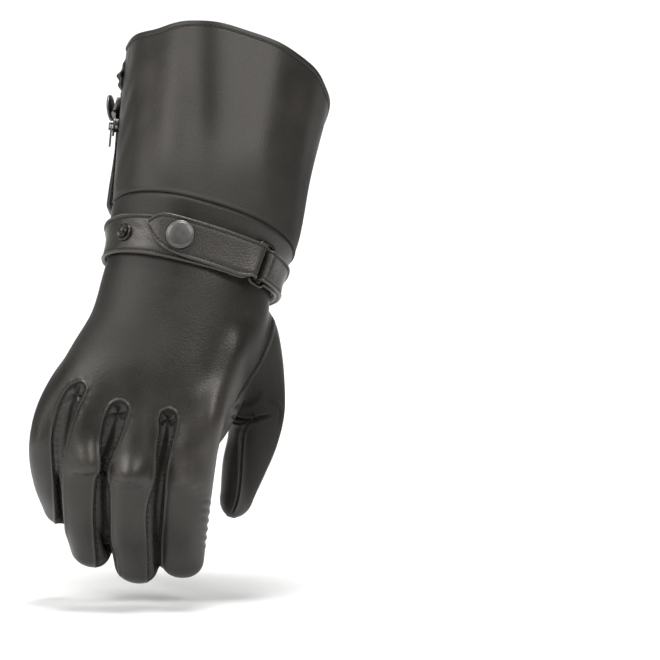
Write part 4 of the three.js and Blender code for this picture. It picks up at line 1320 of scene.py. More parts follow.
# %% Panels of the cuff
CUFF = {
    "cuff_back": {"low": (0.2, 170), "high": (0.15, 165), "across": 190, "material": "cuff"},
    "side_back": {"low": (170.4, 176.5), "high": (165.3, 174), "across": 14, "material": "side"},
    "side_palm": {"low": (187.5, 198), "high": (190, 218.6), "across": 30, "material": "side"},
    "cuff_palm": {"low": (198.4, 359.8), "high": (218.8, 359.85), "across": 180, "material": "cuff"},
}
HEM = 3.0
ROWS = {"wide": 110, "narrow": 60}
# Painted shade over the whole inner face of each panel.
INNER_DARK = 0.4


def rim_at(degrees):
    return CUFF_HEIGHT + rows_at(RIM, "degrees", degrees)["rise"]


def wave(degrees, along):
    """The cuff's slow unevenness, in mm out of its surface: soft bands up it, and a few slanting wrinkles."""
    slow = 0.35 * np.sin(np.radians(degrees) * 7 + along / 60)
    slow = slow + 0.2 * np.sin(np.radians(degrees) * 13 - along / 35 + 1)
    bands = 0.5 * bell(degrees - 70, 10) - 0.7 * bell(degrees - 90, 9) + 0.7 * bell(degrees - 122, 13)
    fold = 0.3 * np.sin(along / 4.2 + degrees / 4) * bell(degrees - 158, 12) * bell(along - 46, 28)
    return (slow + bands * smoothstep(8, 40, along) + fold) * smoothstep(0, 12, along)


def loose_edge(degrees, along, low):
    """How far the palm's narrow panel stands off the arm beside the zip, most of all near the wrist."""
    off = 3.2 * bell(along - 8, 24) + 0.9 * bell(along - 40, 16)
    return off * bell(degrees - low, 9) * smoothstep(-1, 4, along)


def between(ends, share):
    return ends[0] + (ends[1] - ends[0]) * share


def panel_points(name, panel, rows, inner=False):
    """A grid of a cuff panel's outer or inner face."""
    share = np.linspace(0, 1, rows)
    share = (share - 0.12 * np.sin(2 * np.pi * share))[:, None]
    i = np.linspace(0, 1, panel["across"])[None, :]
    low, high = between(panel["low"], i), between(panel["high"], i)
    degrees = low + (high - low) * share
    top = rim_at(degrees)
    along = 0.1 + (top - 0.1) * share
    below = top - along
    lift = wave(degrees, along)
    loose = loose_edge(degrees, along, low) if name == "side_palm" else 0
    if inner:
        return on_body(degrees, along, lift * 0.7 - CUFF_WALL + loose)
    lift = lift + 0.5 * (1 - smoothstep(HEM - 0.2, HEM + 0.5, below)) - 0.3 * bell(below - HEM - 0.2, 0.5)
    lift = lift - 0.9 * (1 - smoothstep(0, 0.9, below)) ** 2
    lift = lift - 0.8 * (1 - smoothstep(0, 0.8, along)) ** 2 + 0.3 * bell(along - 1.1, 1.0)
    return on_body(degrees, along, lift + loose)


def painted_shade_of(points):
    """Painted shade on a cuff panel's outer face: a band up its middle, and its lower part."""
    x, y = pixels_of(points.reshape(-1, 3)).T
    upper = 0.75 * bell(x - 209, 13) * (1 - smoothstep(100, 190, y))
    return upper + 0.45 * smoothstep(135, 190, y) * smoothstep(130, 170, x)


for name, panel in CUFF.items():
    rows = ROWS["wide" if panel["across"] > 100 else "narrow"]
    outer, inner = panel_points(name, panel, rows), panel_points(name, panel, rows, inner=True)
    # The outer face gets a painted band of shade, the inner face painted shade all over.
    painted_band = painted_shade_of(outer)
    mesh = shade(sheet_mesh(name, outer, inner), dark=np.concatenate([painted_band, 0 * painted_band + INNER_DARK]))
    piece(name + "_leather", mesh, FINISH[panel["material"]], [name])

# %% [markdown]
# The fold over the notch
#
# Above the zip a gusset of soft leather fills the notch between the panels, so that the mouth opens wide.
# It is folded inwards and crumpled, and one bulge shows past the glove's edge. Cloth simulation could
# crumple it, but it is small and held on three sides, so a folded sheet with a few waves gives the same
# look every time.

# %% The gusset
GUSSET = {"from": 58, "deep": 8, "thick": 1.2, "sunk": 0.4, "low": (177, 187), "high": (174.5, 189.5)}
BULGE = {"high": 6.5, "across": 0.2, "up": 0.62}


def gusset_points(thick, rows=40, columns=44):
    j, i = np.meshgrid(np.linspace(0, 1, rows), np.linspace(0, 1, columns), indexing="ij")
    low, high = between(GUSSET["low"], i), between(GUSSET["high"], i)
    degrees = low + (high - low) * j
    top = rim_at(degrees) - 2 * HEM
    fold = GUSSET["deep"] * np.sin(np.pi * i) * (0.3 + 0.7 * j)
    crumple = 0.7 * np.sin(9 * i + 5 * j) * np.sin(np.pi * i)
    crumple += 0.35 * np.sin(23 * j + 6 * i) * np.sin(np.pi * i)
    bulge = bell(i - BULGE["across"], 0.2) * bell(j - BULGE["up"], 0.27) * (1 - smoothstep(0.85, 1, j))
    crumple += (BULGE["high"] + 1.1 * np.sin(31 * j)) * bulge
    return on_body(degrees, between((GUSSET["from"], top), j), crumple - GUSSET["sunk"] - fold - thick)


mesh = sheet_mesh("cuff_gusset", gusset_points(0), gusset_points(GUSSET["thick"]))
piece("cuff_gusset_leather", mesh, FINISH["side"], ["cuff_gusset"])

# %% [markdown]
# Straps
#
# A strap is a flat band of two leathers, turned in at its edges and stitched there, so its edges are
# rounded and slightly swollen. It runs along the glove, round a ring's bar and back over itself. A curve
# with a bevel would twist where it turns round the bar. Instead a strap is a run of cross lines, each given
# by its place on the arm, and its section is laid over the smooth surface through them.

# %% Places of the straps and rings
RING = {"bar": 2.2, "corner": 2.4}
FOLD = RING["bar"] / 2 + 0.8 + STRAP_THICK / 2
WRIST_RING = {"degrees": 45.5, "along": -18, "apart": 8.8, "tall": 25}
RIM_RING = {"degrees": 219.5, "along": 79, "apart": 8, "tall": 26}
PLACE = "degrees along lift half"
STRAPS = {
    "wrist_strap": {
        "ring": WRIST_RING,
        "side": -1,
        "half": 9.6,
        "under": table(
            PLACE,
            (206, -17, UNDER, 9.6),
            (188, -17.5, UNDER, 9.6),
            (166, -19, UNDER, 9.6),
            (140, -19.5, UNDER, 9.6),
            (110, -19.5, UNDER, 9.6),
            (80, -19, UNDER, 9.6),
            (60.5, -18.4, UNDER, 9.6),
        ),
        "over": table(
            PLACE,
            (63, -18.4, 5.6, 9.6),
            (78, -18.4, OVER + 0.2, 9.4),
            (98, -18, OVER, 9.2),
            (112, -16.6, OVER, 7.8),
            (122, -15, OVER, 2.5),
        ),
    },
    "ring_tab": {
        "ring": WRIST_RING,
        "side": 1,
        "half": 9,
        "under": table(
            PLACE,
            (-26, -14.5, UNDER + 0.4, 7.4),
            (-12, -14.5, UNDER + 0.4, 8),
            (8, -15.4, UNDER + 0.4, 8.8),
            (26, -17, UNDER + 0.3, 9),
        ),
        "over": table(
            PLACE,
            (28, -17, 5.3, 9),
            (10, -15.5, OVER + 0.5, 8.8),
            (-8, -14.5, OVER + 0.4, 8.1),
            (-22, -14.5, OVER + 0.4, 7.5),
        ),
    },
    "rim_tab": {
        "ring": RIM_RING,
        "side": -1,
        "half": 9.6,
        "under": table(PLACE, (247, 78, UNDER, 9.6), (232, 78.6, UNDER, 9.6)),
        "over": table(
            PLACE,
            (231, 78.8, 5, 9.6),
            (239, 78.6, OVER, 9.6),
            (247, 78.8, OVER, 8.6),
            (253, 79.2, OVER, 5),
        ),
    },
    "rim_strap": {
        "ring": RIM_RING,
        "side": 1,
        "half": 8.8,
        "under": table(PLACE, (203, 79, UNDER, 8.8)),
        "over": table(
            PLACE + " tilt",
            (207, 78, 5.4, 9.4, 8),
            (200, 75, 3.7, 10, 20),
            (193, 70, 2.8, 9.4, 34),
            (187, 64, 2.5, 4.4, 44),
        ),
    },
}
print("straps:", list(STRAPS))

# %% [markdown]
# A strap as a surface
#
# The cross lines become one surface, on which any place can be asked for: a share of the strap's length,
# and how far it is across. The leather and its two rows of stitches both use it, so the stitches always lie
# in their groove.

# %% The surface through the cross lines
TURNS = np.radians([-90, -45, 0, 45, 90])


def cross_line(place, reach):
    """Points across a strap at a place on the body. reach: -1 at its lower edge, 1 at its upper one."""
    per_degree = body_frame(place["degrees"], place["along"])["per_degree"]
    tilt = math.radians(place.get("tilt", 0))
    degrees = place["degrees"] + reach * place["half"] * math.sin(tilt) / per_degree
    along = place["along"] + reach * place["half"] * math.cos(tilt)
    return on_body(degrees, along, np.full(len(reach), float(place["lift"])))


def fold_lines(ring, side, half, reach):
    """Cross lines of a strap's half turn round a ring's bar."""
    at = body_frame(ring["degrees"], ring["along"])
    lines = []
    for turn in TURNS:
        inward = ring["apart"] / 2 - FOLD * math.cos(turn)
        centre = at["point"] - at["around"] * side * inward
        centre = centre + at["out"] * (UNDER + FOLD + FOLD * math.sin(turn))
        lines.append(centre + at["up"] * (reach * half)[:, None])
    return lines


class Strap:
    """A strap's surface: places along it from 0 to 1, and across it from -1 to 1."""

    def __init__(self, under, ring, side, half, over):
        self.reach = np.linspace(-1, 1, 25)
        lines = [cross_line(place, self.reach) for place in under]
        lines += fold_lines(ring, side, half, self.reach)
        lines += [cross_line(place, self.reach) for place in over]
        self.lines = np.array(lines)
        widths = [row["half"] for row in under] + [half] * len(TURNS) + [row["half"] for row in over]
        self.halves = np.array(widths, float)

    def half_at(self, shares):
        return spline(self.halves[:, None], shares)[:, 0]

    def surface(self, shares, across):
        rows = spline(self.lines, shares)
        at = np.clip((across + 1) / 2 * (len(self.reach) - 1), 0, len(self.reach) - 1.001)
        k = at.astype(int)
        pick = np.arange(len(shares))
        return rows[pick, k] + (rows[pick, k + 1] - rows[pick, k]) * (at - k)[:, None]

    def place(self, shares, across, lift=0.0):
        """Points at shares along the strap and places across it, lifted off its middle."""
        ahead = self.surface(np.clip(shares + 1e-3, 0, 1), across)
        ahead = unit(ahead - self.surface(np.clip(shares - 1e-3, 0, 1), across))
        ones = np.full_like(across, 1.0)
        width = unit(self.surface(shares, ones) - self.surface(shares, -ones))
        out = unit(np.cross(ahead, width))
        return self.surface(shares, across) + out * np.broadcast_to(lift, shares.shape)[:, None]


straps = {name: Strap(**strap) for name, strap in STRAPS.items()}
print("cross lines:", {name: len(strap.lines) for name, strap in straps.items()})

# %% [markdown]
# The strap's section
#
# Both faces carry the stitches' groove a little way in from the edge, and the edge itself is a half round.
# More points lie near the edge than in the middle. Small creases cross the upper face, as on a strap that
# has been bent and opened many times.

# %% Leather of the straps
SEAM_INSET = 1.9
EDGE = 0.9


def strap_section(half):
    """The section of a strap, once round: places across it from -1 to 1, and heights in mm."""
    edge = EDGE / half
    seam = min(0.45, 2 * edge)
    low, high, quarter = -1 + edge, 1 - edge, np.linspace(0, np.pi / 2, 5)
    flat = [
        np.linspace(low, low + seam, 8),
        np.linspace(low + seam, high - seam, 12)[1:-1],
        np.linspace(high - seam, high, 8),
    ]
    first, last = -1 + edge * (1 - np.cos(quarter)), high + edge * np.sin(quarter)
    across = np.concatenate([first, np.concatenate(flat)[1:-1], last])
    inset = (1 - np.abs(across)) * half
    height = EDGE * np.sqrt(np.clip(1 - (1 - np.clip(inset / EDGE, 0, 1)) ** 2, 0, 1))
    height = height + 0.4 * bell(inset - EDGE, 0.6) - 0.3 * bell(inset - SEAM_INSET, 0.45)
    return np.concatenate([across, across[::-1][1:-1]]), np.concatenate([height, -height[::-1][1:-1]])


def strap_rings(strap, count):
    """Closed rings of a strap, with both ends rounded off, and each point's painted shade and wear."""
    rings, dark, worn = [], [], []
    for share in np.linspace(0, 1, count):
        half = max(float(strap.half_at(share)[0]), 1.2)
        across, height = strap_section(half)
        inset = (1 - np.abs(across)) * half
        crease = np.sin(34 * across * half / 9 + 5 * math.sin(41 * share)) * math.sin(150 * share + 2)
        height = height + 0.12 * crease * smoothstep(1.5, 4, inset) * (height > 0)
        rings.append(strap.place(np.full(len(across), share), across, height))
        # Painted shade in the stitches' groove; the rounded edge is paler where it rubs.
        dark.append(0.9 * bell(inset - SEAM_INSET, 0.5))
        worn.append(0.8 * bell(inset - 0.6, 0.5))
    for end in (0, -1):
        middle = rings[end].mean(0)
        rings[end] = middle + (rings[end] - middle) * 0.55
    return np.array(rings), np.concatenate([*dark, [0, 0]]), np.concatenate([*worn, [0, 0]])


for name, strap in straps.items():
    count = 60 + 22 * len(STRAPS[name]["under"] + STRAPS[name]["over"])
    rings, strap_dark, strap_worn = strap_rings(strap, count)
    mesh = shade(outward(mesh_of(name, *capped(rings))), dark=strap_dark, worn=strap_worn)
    piece(name + "_leather", mesh, FINISH["strap"], [name])

# %% [markdown]
# Rings
#
# Each strap runs through a rectangular ring bent from round black wire. A curve object with a bevel would
# do, but its corners bunch their points. Here the outline is first walked at an even step, and a circle is
# then carried along it without twisting, so the wire is even all the way round.

# %% The wire rings
WIRE_SIDES = 14
WIRE_STEP = 0.7


def rounded_outline(wide, tall, corner, steps=8):
    x, y = wide / 2 - corner, tall / 2 - corner
    outline = []
    for cx, cy, turn in ((x, y, 0), (-x, y, 90), (-x, -y, 180), (x, -y, 270)):
        angle = np.radians(np.linspace(turn, turn + 90, steps))
        outline.append(np.stack([cx + corner * np.cos(angle), cy + corner * np.sin(angle), 0 * angle], 1))
    return np.concatenate(outline)


def evenly(outline, step):
    """A closed outline with points at an even distance."""
    closed = np.concatenate([outline, outline[:1]])
    run = np.concatenate([[0], np.cumsum(np.linalg.norm(np.diff(closed, axis=0), axis=1))])
    at = np.linspace(0, run[-1], int(run[-1] / step), endpoint=False)
    return np.stack([np.interp(at, run, closed[:, k]) for k in range(3)], 1)


def wire_mesh(name, path, radius):
    """A round wire along a closed path."""
    ahead = unit(np.roll(path, -1, axis=0) - np.roll(path, 1, axis=0))
    angle = np.linspace(0, 2 * np.pi, WIRE_SIDES, endpoint=False)[:, None]
    rings, side = [], unit(np.cross(ahead[0], [0.31, 0.17, 0.93]))
    for point, tangent in zip(path, ahead):
        side = unit(side - tangent * (side @ tangent))
        rings.append(point + radius * (side * np.cos(angle) + np.cross(tangent, side) * np.sin(angle)))
    count = len(rings) * WIRE_SIDES
    faces = grid_faces(len(rings) + 1, WIRE_SIDES, closed=True) % count
    return outward(mesh_of(name, np.concatenate(rings), faces.tolist()))


for name, ring in (("wrist_ring", WRIST_RING), ("rim_ring", RIM_RING)):
    outline = evenly(rounded_outline(ring["apart"], ring["tall"] - RING["bar"], RING["corner"]), WIRE_STEP)
    path = placed(outline, ring["degrees"], ring["along"], UNDER + FOLD)
    piece(name + "_metal", wire_mesh(name, path, RING["bar"] / 2), FINISH["black"], [name])

# %% [markdown]
# Snaps
#
# A snap's cap is a thin nickel disc with a rolled edge and a slightly domed middle. The stud is its other
# half: a collar with a knob, which shows where the strap is left open. Both are turned parts, so both are
# spun from a profile of radius and height. Blender's Screw modifier does the same, but the points are
# wanted on the curved glove straight away.

# %% Caps and stud
ON_TOP = STRAP_THICK / 2 + 0.6
SPIN_SIDES = 64
CAP = [(6.7, -0.5), (7.1, -0.3), (7.4, 0.2), (7.45, 0.6), (7.25, 1.0), (6.75, 1.25), (6.5, 1.22), (6.3, 1.3)]
CAP += [(6.3 * math.cos(a), 1.3 + 0.6 * math.sin(a)) for a in np.linspace(0.12, 1.5, 14)]
STUD = [(4.5, -0.5), (4.7, -0.2), (4.6, 0.35), (4.1, 0.75), (3.6, 0.8), (3.3, 0.55), (1.9, 0.5), (1.25, 0.75)]
STUD += [(1.15, 1.7)]
STUD += [(1.9 * math.cos(a), 2.55 + 0.95 * math.sin(a)) for a in np.linspace(-0.8, 1.5, 14)]
SNAPS = table(
    "name profile finish slot degrees along lift",
    ("flap_snap", CAP, "nickel", "snap_nickel", 100, -17.8, OVER + ON_TOP),
    ("strap_stud", STUD, "black", "black_metal", 143, -19.4, UNDER + 0.25 + ON_TOP),
    ("rim_snap", CAP, "nickel", "snap_nickel", 199, 74, 4.65 + ON_TOP),
)


def spun_mesh(name, profile, *place):
    """A turned piece from a profile of radius and height, put on the body."""
    profile = np.array(profile, float)
    angle = np.linspace(0, 2 * np.pi, SPIN_SIDES, endpoint=False)
    radius, height = profile[:, 0][:, None], profile[:, 1][:, None]
    rings = np.stack([radius * np.cos(angle), radius * np.sin(angle), height + 0 * angle], -1)
    return outward(mesh_of(name, *capped(placed(rings, *place))))


for snap in SNAPS:
    name = snap["name"]
    mesh = spun_mesh(name, snap["profile"], snap["degrees"], snap["along"], snap["lift"])
    piece(name + "_metal", mesh, FINISH[snap["finish"]], [name])

# %% [markdown]
# The zip's tape and teeth
#
# The zip closes the cuff up to the notch. Its teeth are small black blocks in two rows that reach between
# each other, on a woven tape. An array along a straight line would leave the curved cuff, so each tooth
# takes its own directions from the glove's surface, and all of them are one mesh.

# %% Tape and teeth
ZIP = {"degrees": 182, "from": 3, "to": 51, "tape_half": 3.2, "pitch": 1.55}
TAPE_TOP = -CUFF_WALL / 2
TAPE_THICK = 0.6
TOOTH = [(-0.35, -0.55), (1.25, -0.55), (1.75, -0.3), (1.75, 0.3), (1.25, 0.55), (-0.35, 0.55)]
TOOTH_LEVELS = [(TAPE_TOP + 0.35, 0.9), (TAPE_TOP + 1.9, 0.75)]


def tape_points(lift):
    run = np.linspace(ZIP["from"], GUSSET["from"] - 1, 40)
    along, i = np.meshgrid(run, np.linspace(-1, 1, 9), indexing="ij")
    at = body_frame(ZIP["degrees"], along)
    across = i * ZIP["tape_half"]
    return at["point"] + at["around"] * across[..., None] + at["out"] * np.full_like(along, lift)[..., None]


def prism_faces(base, n):
    """Faces of a closed plate: n points of its lower face, then n of its upper one, from a first point on."""
    sides = [(base + k, base + (k + 1) % n, base + n + (k + 1) % n, base + n + k) for k in range(n)]
    return sides + [tuple(base + k for k in range(n))[::-1], tuple(base + n + k for k in range(n))]


def teeth_mesh(name, first, last):
    """Small teeth in two rows that mesh, as one mesh."""
    points, faces = [], []
    for k in range(int((last - first) / (ZIP["pitch"] / 2))):
        side = 1 if k % 2 else -1
        at = body_frame(ZIP["degrees"], first + k * ZIP["pitch"] / 2)
        tooth = prism_faces(len(points), len(TOOTH))
        faces += [face[::-1] for face in tooth] if side > 0 else tooth
        for level, size in TOOTH_LEVELS:
            for x, y in TOOTH:
                across = at["around"] * (side * (1.15 - x))
                points.append(at["point"] + across + at["up"] * y * 0.62 * size / 0.9 + at["out"] * level)
    return outward(mesh_of(name, np.array(points), faces))


mesh = sheet_mesh("zip_tape", tape_points(TAPE_TOP), tape_points(TAPE_TOP - TAPE_THICK))
piece("zip_tape_cloth", mesh, FINISH["tape"], ["zip_tape"])
mesh = teeth_mesh("zip_chain", ZIP["from"] + 1.5, ZIP["to"] - 1)
piece("zip_chain_metal", mesh, FINISH["black"], ["zip_chain"], smooth=False)

# %% [markdown]
# The slider
#
# The slider is a cast shield with two side walls that hold the teeth, and a bridge on top that holds the
# pull. It is put together from flat plates, as if cut from sheet. A Bevel modifier then rounds every edge a
# little, which is what makes cast metal catch the light.

# %% Plates with rounded edges
SLIDER = {"degrees": 182, "along": 51, "lift": 1.5}
SHIELD = [
    *[(-2.6, -4.75), (2.6, -4.75), (4.1, -1.2), (4.1, 2.6)],
    *[(3.0, 4.75), (-3.0, 4.75), (-4.1, 2.6), (-4.1, -1.2)],
]


def bevelled(mesh, width):
    """A mesh with its edges rounded."""
    made = linked("bevel", mesh)
    bevel = made.modifiers.new("bevel", "BEVEL")
    bevel.width = width * MM
    bevel.segments = 3
    bevel.limit_method = "ANGLE"
    bevel.angle_limit = math.radians(40)
    return finished(made)


def box_outline(x0, x1, y0, y1):
    return [(x0, y0), (x1, y0), (x1, y1), (x0, y1)]


def plates_mesh(name, plates, place, width):
    points, faces = [], []
    for outline, low, high in plates:
        faces += prism_faces(len(points), len(outline))
        points += [(x, y, height) for height in (low, high) for x, y in outline]
    return bevelled(mesh_of(name, placed(np.array(points, float), **place), faces), width)


plates = [
    (SHIELD, 0, 1.2),
    (box_outline(-4.1, -3.0, -1.2, 2.6), -2.1, 0.3),
    (box_outline(3.0, 4.1, -1.2, 2.6), -2.1, 0.3),
    (box_outline(-0.65, 0.65, -2.2, -1.4), 1.1, 2.9),
    (box_outline(-0.65, 0.65, 1.4, 2.2), 1.1, 2.9),
    (box_outline(-0.65, 0.65, -2.2, 2.2), 2.75, 3.5),
]
mesh = plates_mesh("zip_slider", plates, SLIDER, 0.28)
piece("zip_slider_metal", mesh, FINISH["black"], ["zip_slider"])

# %% [markdown]
# The pull
#
# The pull is a small plate with a slot at its top, through which the slider's bridge passes. It is the one
# part that swings, so it rides on a body of its own. A Boolean could cut the slot, but two outlines with
# the same number of points can simply be joined by quads, which leaves clean edges for the bevel.

# %% The swinging pull
PULL = {"wide": 4.6, "long": 13.0, "thick": 1.0, "corner": 1.4, "lift": SLIDER["lift"] + 1.2 + 0.33}
SLOT = {"wide": 2.1, "long": 2.7, "corner": 0.3}
outside = rounded_outline(PULL["wide"], PULL["long"], PULL["corner"])
outside[:, 1] += PULL["thick"] / 2 - PULL["long"] / 2
hole = rounded_outline(SLOT["wide"], SLOT["long"], SLOT["corner"])
hole[:, 1] += -PULL["thick"] / 2 - SLOT["long"] / 2
rings = [(outside, 0), (outside, PULL["thick"]), (hole, PULL["thick"]), (hole, 0)]
points = np.concatenate([line + [0, 0, height] for line, height in rings])
faces = grid_faces(len(rings) + 1, len(outside), closed=True) % len(points)
points = placed(points, SLIDER["degrees"], SLIDER["along"], PULL["lift"])
mesh = bevelled(outward(mesh_of("zip_pull", points, faces.tolist())), 0.22)
piece("zip_pull_metal", mesh, FINISH["black"], ["zip_pull"], body="pull")

# %% [markdown]
# Stitches
#
# A stitch is a short bead of thread that is drawn into the leather at both ends. There are more than a
# thousand of them, all alike, so they are Geometry Nodes' work: a seam is a line of points, it is walked at
# an even pitch, and a stretched sphere of a few dozen faces is laid at each step, turned along the line. A
# seeded change of size keeps them from looking printed. At the end they are realised as plain geometry,
# because instances don't last.

# %% The stitches' node tree
def stitch_group():
    tree = bpy.data.node_groups.new("stitches", "GeometryNodeTree")
    sizes = [("Pitch", 0.0026), ("Length", 0.0019), ("Thickness", 0.0004), ("Unevenness", 0.08)]
    sockets(tree, "INPUT", ("Geometry", "Geometry"), *[(name, "Float", size) for name, size in sizes])
    sockets(tree, "INPUT", ("Material", "Material"))
    sockets(tree, "OUTPUT", ("Geometry", "Geometry"))
    link = tree.links.new
    given, result = node(tree, "NodeGroupInput"), node(tree, "NodeGroupOutput")

    # The line, walked at an even pitch.
    line = node(tree, "GeometryNodeMeshToCurve")
    link(given.outputs["Geometry"], line.inputs["Mesh"])
    even = node(tree, "GeometryNodeResampleCurve", mode="LENGTH")
    link(line.outputs["Curve"], even.inputs["Curve"])
    link(given.outputs["Pitch"], even.inputs["Length"])

    # One stitch, stretched to its length.
    bead = node(tree, "GeometryNodeMeshUVSphere")
    bead.inputs["Segments"].default_value = 8
    bead.inputs["Rings"].default_value = 6
    bead.inputs["Radius"].default_value = 0.5
    size = node(tree, "ShaderNodeCombineXYZ")
    for axis, name in (("X", "Thickness"), ("Y", "Thickness"), ("Z", "Length")):
        link(given.outputs[name], size.inputs[axis])
    long = node(tree, "GeometryNodeTransform")
    link(bead.outputs["Mesh"], long.inputs["Geometry"])
    link(size.outputs[0], long.inputs["Scale"])

    # A stitch at each step, turned along the line and a little larger or smaller than the next.
    turn = node(tree, "FunctionNodeAlignRotationToVector", axis="Z")
    link(node(tree, "GeometryNodeInputTangent").outputs[0], turn.inputs["Vector"])
    vary = node(tree, "FunctionNodeRandomValue", data_type="FLOAT")
    vary.inputs["Seed"].default_value = 7
    for operation, socket in (("SUBTRACT", 2), ("ADD", 3)):
        link(sums(tree, operation, 1.0, given.outputs["Unevenness"]), vary.inputs[socket])
    laid = node(tree, "GeometryNodeInstanceOnPoints")
    link(even.outputs["Curve"], laid.inputs["Points"])
    link(long.outputs[0], laid.inputs["Instance"])
    link(turn.outputs[0], laid.inputs["Rotation"])
    link(vary.outputs[1], laid.inputs["Scale"])

    real = wire(tree, node(tree, "GeometryNodeRealizeInstances"), laid.outputs[0])
    smooth = wire(tree, node(tree, "GeometryNodeSetShadeSmooth"), real)
    painted = node(tree, "GeometryNodeSetMaterial")
    link(smooth, painted.inputs["Geometry"])
    link(given.outputs["Material"], painted.inputs["Material"])
    link(painted.outputs[0], result.inputs["Geometry"])
    spread(tree, "the stitches group")
    return tree


STITCHES = stitch_group()


def stitched(name, lines, pitch=2.6, length=1.9, thick=0.42):
    """Stitches along lines of points in mm, as one piece."""
    edges, start = [], 0
    for line in lines:
        edges += [(start + k, start + k + 1) for k in range(len(line) - 1)]
        start += len(line)
    mesh = bpy.data.meshes.new(name)
    mesh.from_pydata((np.concatenate(lines) * MM).tolist(), edges, [])
    path = linked(name, mesh)
    modifier = path.modifiers.new("stitches", "NODES")
    modifier.node_group = STITCHES
    wanted = {"Pitch": pitch * MM, "Length": length * MM, "Thickness": thick * MM}
    wanted["Material"] = FINISH["thread"]
    for item in STITCHES.interface.items_tree:
        if item.in_out == "INPUT" and item.name in wanted:
            modifier[item.identifier] = wanted[item.name]
    return piece(name, finished(path), FINISH["thread"])


# %% [markdown]
# Where the stitches go
#
# The straps' stitches lie in the grooves on both faces. The hand's seams were measured as pixels, so each
# pixel's ray is followed from the camera to the skin, which puts the thread exactly where the groove is.
# The hem's stitches run below the rim.

# %% Stitches of the straps, the hand and the rim
STRAP_SHARES = np.linspace(0.01, 0.985, 120)
GRAZING = 0.12
JUMP = 2.5
SHORTEST = 8

strap_lines = []
for strap in straps.values():
    inset = 1 - SEAM_INSET / np.maximum(strap.half_at(STRAP_SHARES), 2.6)
    for side, lift in ((-1, 0.72), (-1, -0.72), (1, 0.72), (1, -0.72)):
        strap_lines.append(strap.place(STRAP_SHARES, side * inset, lift))
stitched("strap_stitches", strap_lines, pitch=1.9, length=1.35, thick=0.55)

skin_tree = BVHTree.FromPolygons((skin * MM).tolist(), drawn(quads))


def seam_on_skin(line, lift=0.2, pitch=0.6):
    """Lines of points on the skin under a line of pixels, broken where the skin turns away or jumps."""
    run = np.concatenate([[0], np.cumsum(np.hypot(*np.diff(line, axis=0).T))])
    at = np.arange(0, run[-1], pitch)
    lines = [[]]
    for px, py in zip(np.interp(at, run, line[:, 0]), np.interp(at, run, line[:, 1])):
        origin, direction = ray_of(px, py)
        place, normal, _, _ = skin_tree.ray_cast(origin, direction)
        if place is None or -normal.dot(direction) < GRAZING:
            lines.append([])
            continue
        point = np.array(place) / MM + np.array(normal) * lift
        if lines[-1] and np.linalg.norm(point - lines[-1][-1]) > JUMP:
            lines.append([])
        lines[-1].append(point)
    return [np.array(found) for found in lines if len(found) > SHORTEST]


hand_lines = []
for line in [*OUTLINES.values(), smooth_line(THUMB_SEAM), smooth_line(THUMB_MIDDLE)]:
    hand_lines += seam_on_skin(line)
stitched("hand_stitches", hand_lines, pitch=1.5, length=0.95, thick=0.5)

rim_lines = []
for panel in CUFF.values():
    degrees = np.linspace(*panel["high"], 160)[2:-2]
    along = rim_at(degrees) - HEM - 0.15
    rim_lines.append(on_body(degrees, along, wave(degrees, along) + 0.12))
stitched("rim_stitches", rim_lines)

# %% [markdown]
# The studio
#
# Black leather shows little but what it reflects, so the lamps draw the glove. Each is a soft rectangle whose
# highlight has a place: the key on the cuff and the back of the hand, a second one for the thumb's side,
# one above for the knuckles, and a weak one that rims the left edge. An image of a studio all round would
# be quicker, but its highlights couldn't be moved one by one. The floor is a pale sheet that curves up
# behind, far enough away that the views from behind stay clear of it, and a lamp of its own keeps it white.

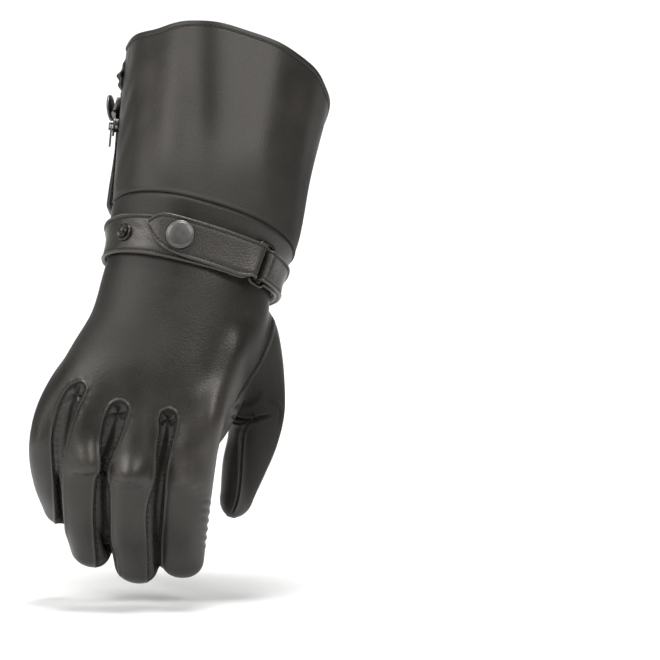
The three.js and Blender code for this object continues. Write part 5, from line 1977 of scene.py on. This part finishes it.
# %% Backdrop, lamps and a weak sky
FLOOR = {"low": -192.0, "front": -2600.0, "back": 2400.0, "radius": 700.0, "half": 3400.0, "top": 3200.0}
LAMPS = table(
    "name place aim size power",
    ("key", (-1.05, -0.95, 1.0), (0, 0, -0.03), (0.8, 0.7), 14.5),
    ("second", (0.62, -1.15, 0.95), (0, 0, -0.05), (0.45, 0.45), 8),
    ("top", (0.12, -0.2, 1.5), (0, 0, -0.1), (0.5, 0.5), 22),
    ("left", (-1.3, -0.3, 0.1), (0, 0, -0.03), (0.4, 1.1), 3),
    ("paper", (0, 2.1, 2.2), (0, 3.1, 0.2), (3.6, 1.2), 62),
)


def backdrop_mesh():
    low, back, radius = FLOOR["low"], FLOOR["back"], FLOOR["radius"]
    turns = np.linspace(0, np.pi / 2, 24)
    bend = [(back + radius * math.sin(a), low + radius * (1 - math.cos(a))) for a in turns]
    profile = [(FLOOR["front"], low), *bend, (back + radius, FLOOR["top"])]
    points = [(side * FLOOR["half"], y, z) for y, z in profile for side in (-1, 1)]
    faces = [(2 * k, 2 * k + 1, 2 * k + 3, 2 * k + 2) for k in range(len(profile) - 1)]
    return mesh_of("backdrop", points, faces)


backdrop = linked("backdrop", backdrop_mesh())
backdrop.data.materials.append(plain("paper", (0.9, 0.9, 0.9), 0.95))
for face in backdrop.data.polygons:
    face.use_smooth = True
backdrop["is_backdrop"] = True

for row in LAMPS:
    data = bpy.data.lights.new(row["name"], "AREA")
    data.shape = "RECTANGLE"
    data.size, data.size_y = row["size"]
    data.energy = row["power"]
    lamp = linked(row["name"], data)
    lamp.location = row["place"]
    lamp.rotation_euler = (Vector(row["aim"]) - Vector(row["place"])).to_track_quat("-Z", "Y").to_euler()

world = bpy.data.worlds.new("studio")
world.use_nodes = True
sky = world.node_tree.nodes["Background"]
sky.inputs["Color"].default_value = (1, 0.98, 0.95, 1)
sky.inputs["Strength"].default_value = 0.22
bpy.context.scene.world = world
bpy.context.scene.view_settings.view_transform = "Standard"
print("lamps:", len(LAMPS))

# %% [markdown]
# The size, before and after
#
# Dressing must not change how large the glove is. Its box is printed beside the box of the bare solids: only
# the soft bumps over the knuckles stand a few millimetres further out.

# %% Both boxes
bpy.context.view_layer.update()
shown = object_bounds()
sizes = {"cad": [list(corner) for corner in CAD_BOX], "shown": [list(corner) for corner in shown]}
for name, (low, high) in sizes.items():
    print(name, [round((b - a) * 1000, 1) for a, b in zip(low, high)], "mm")
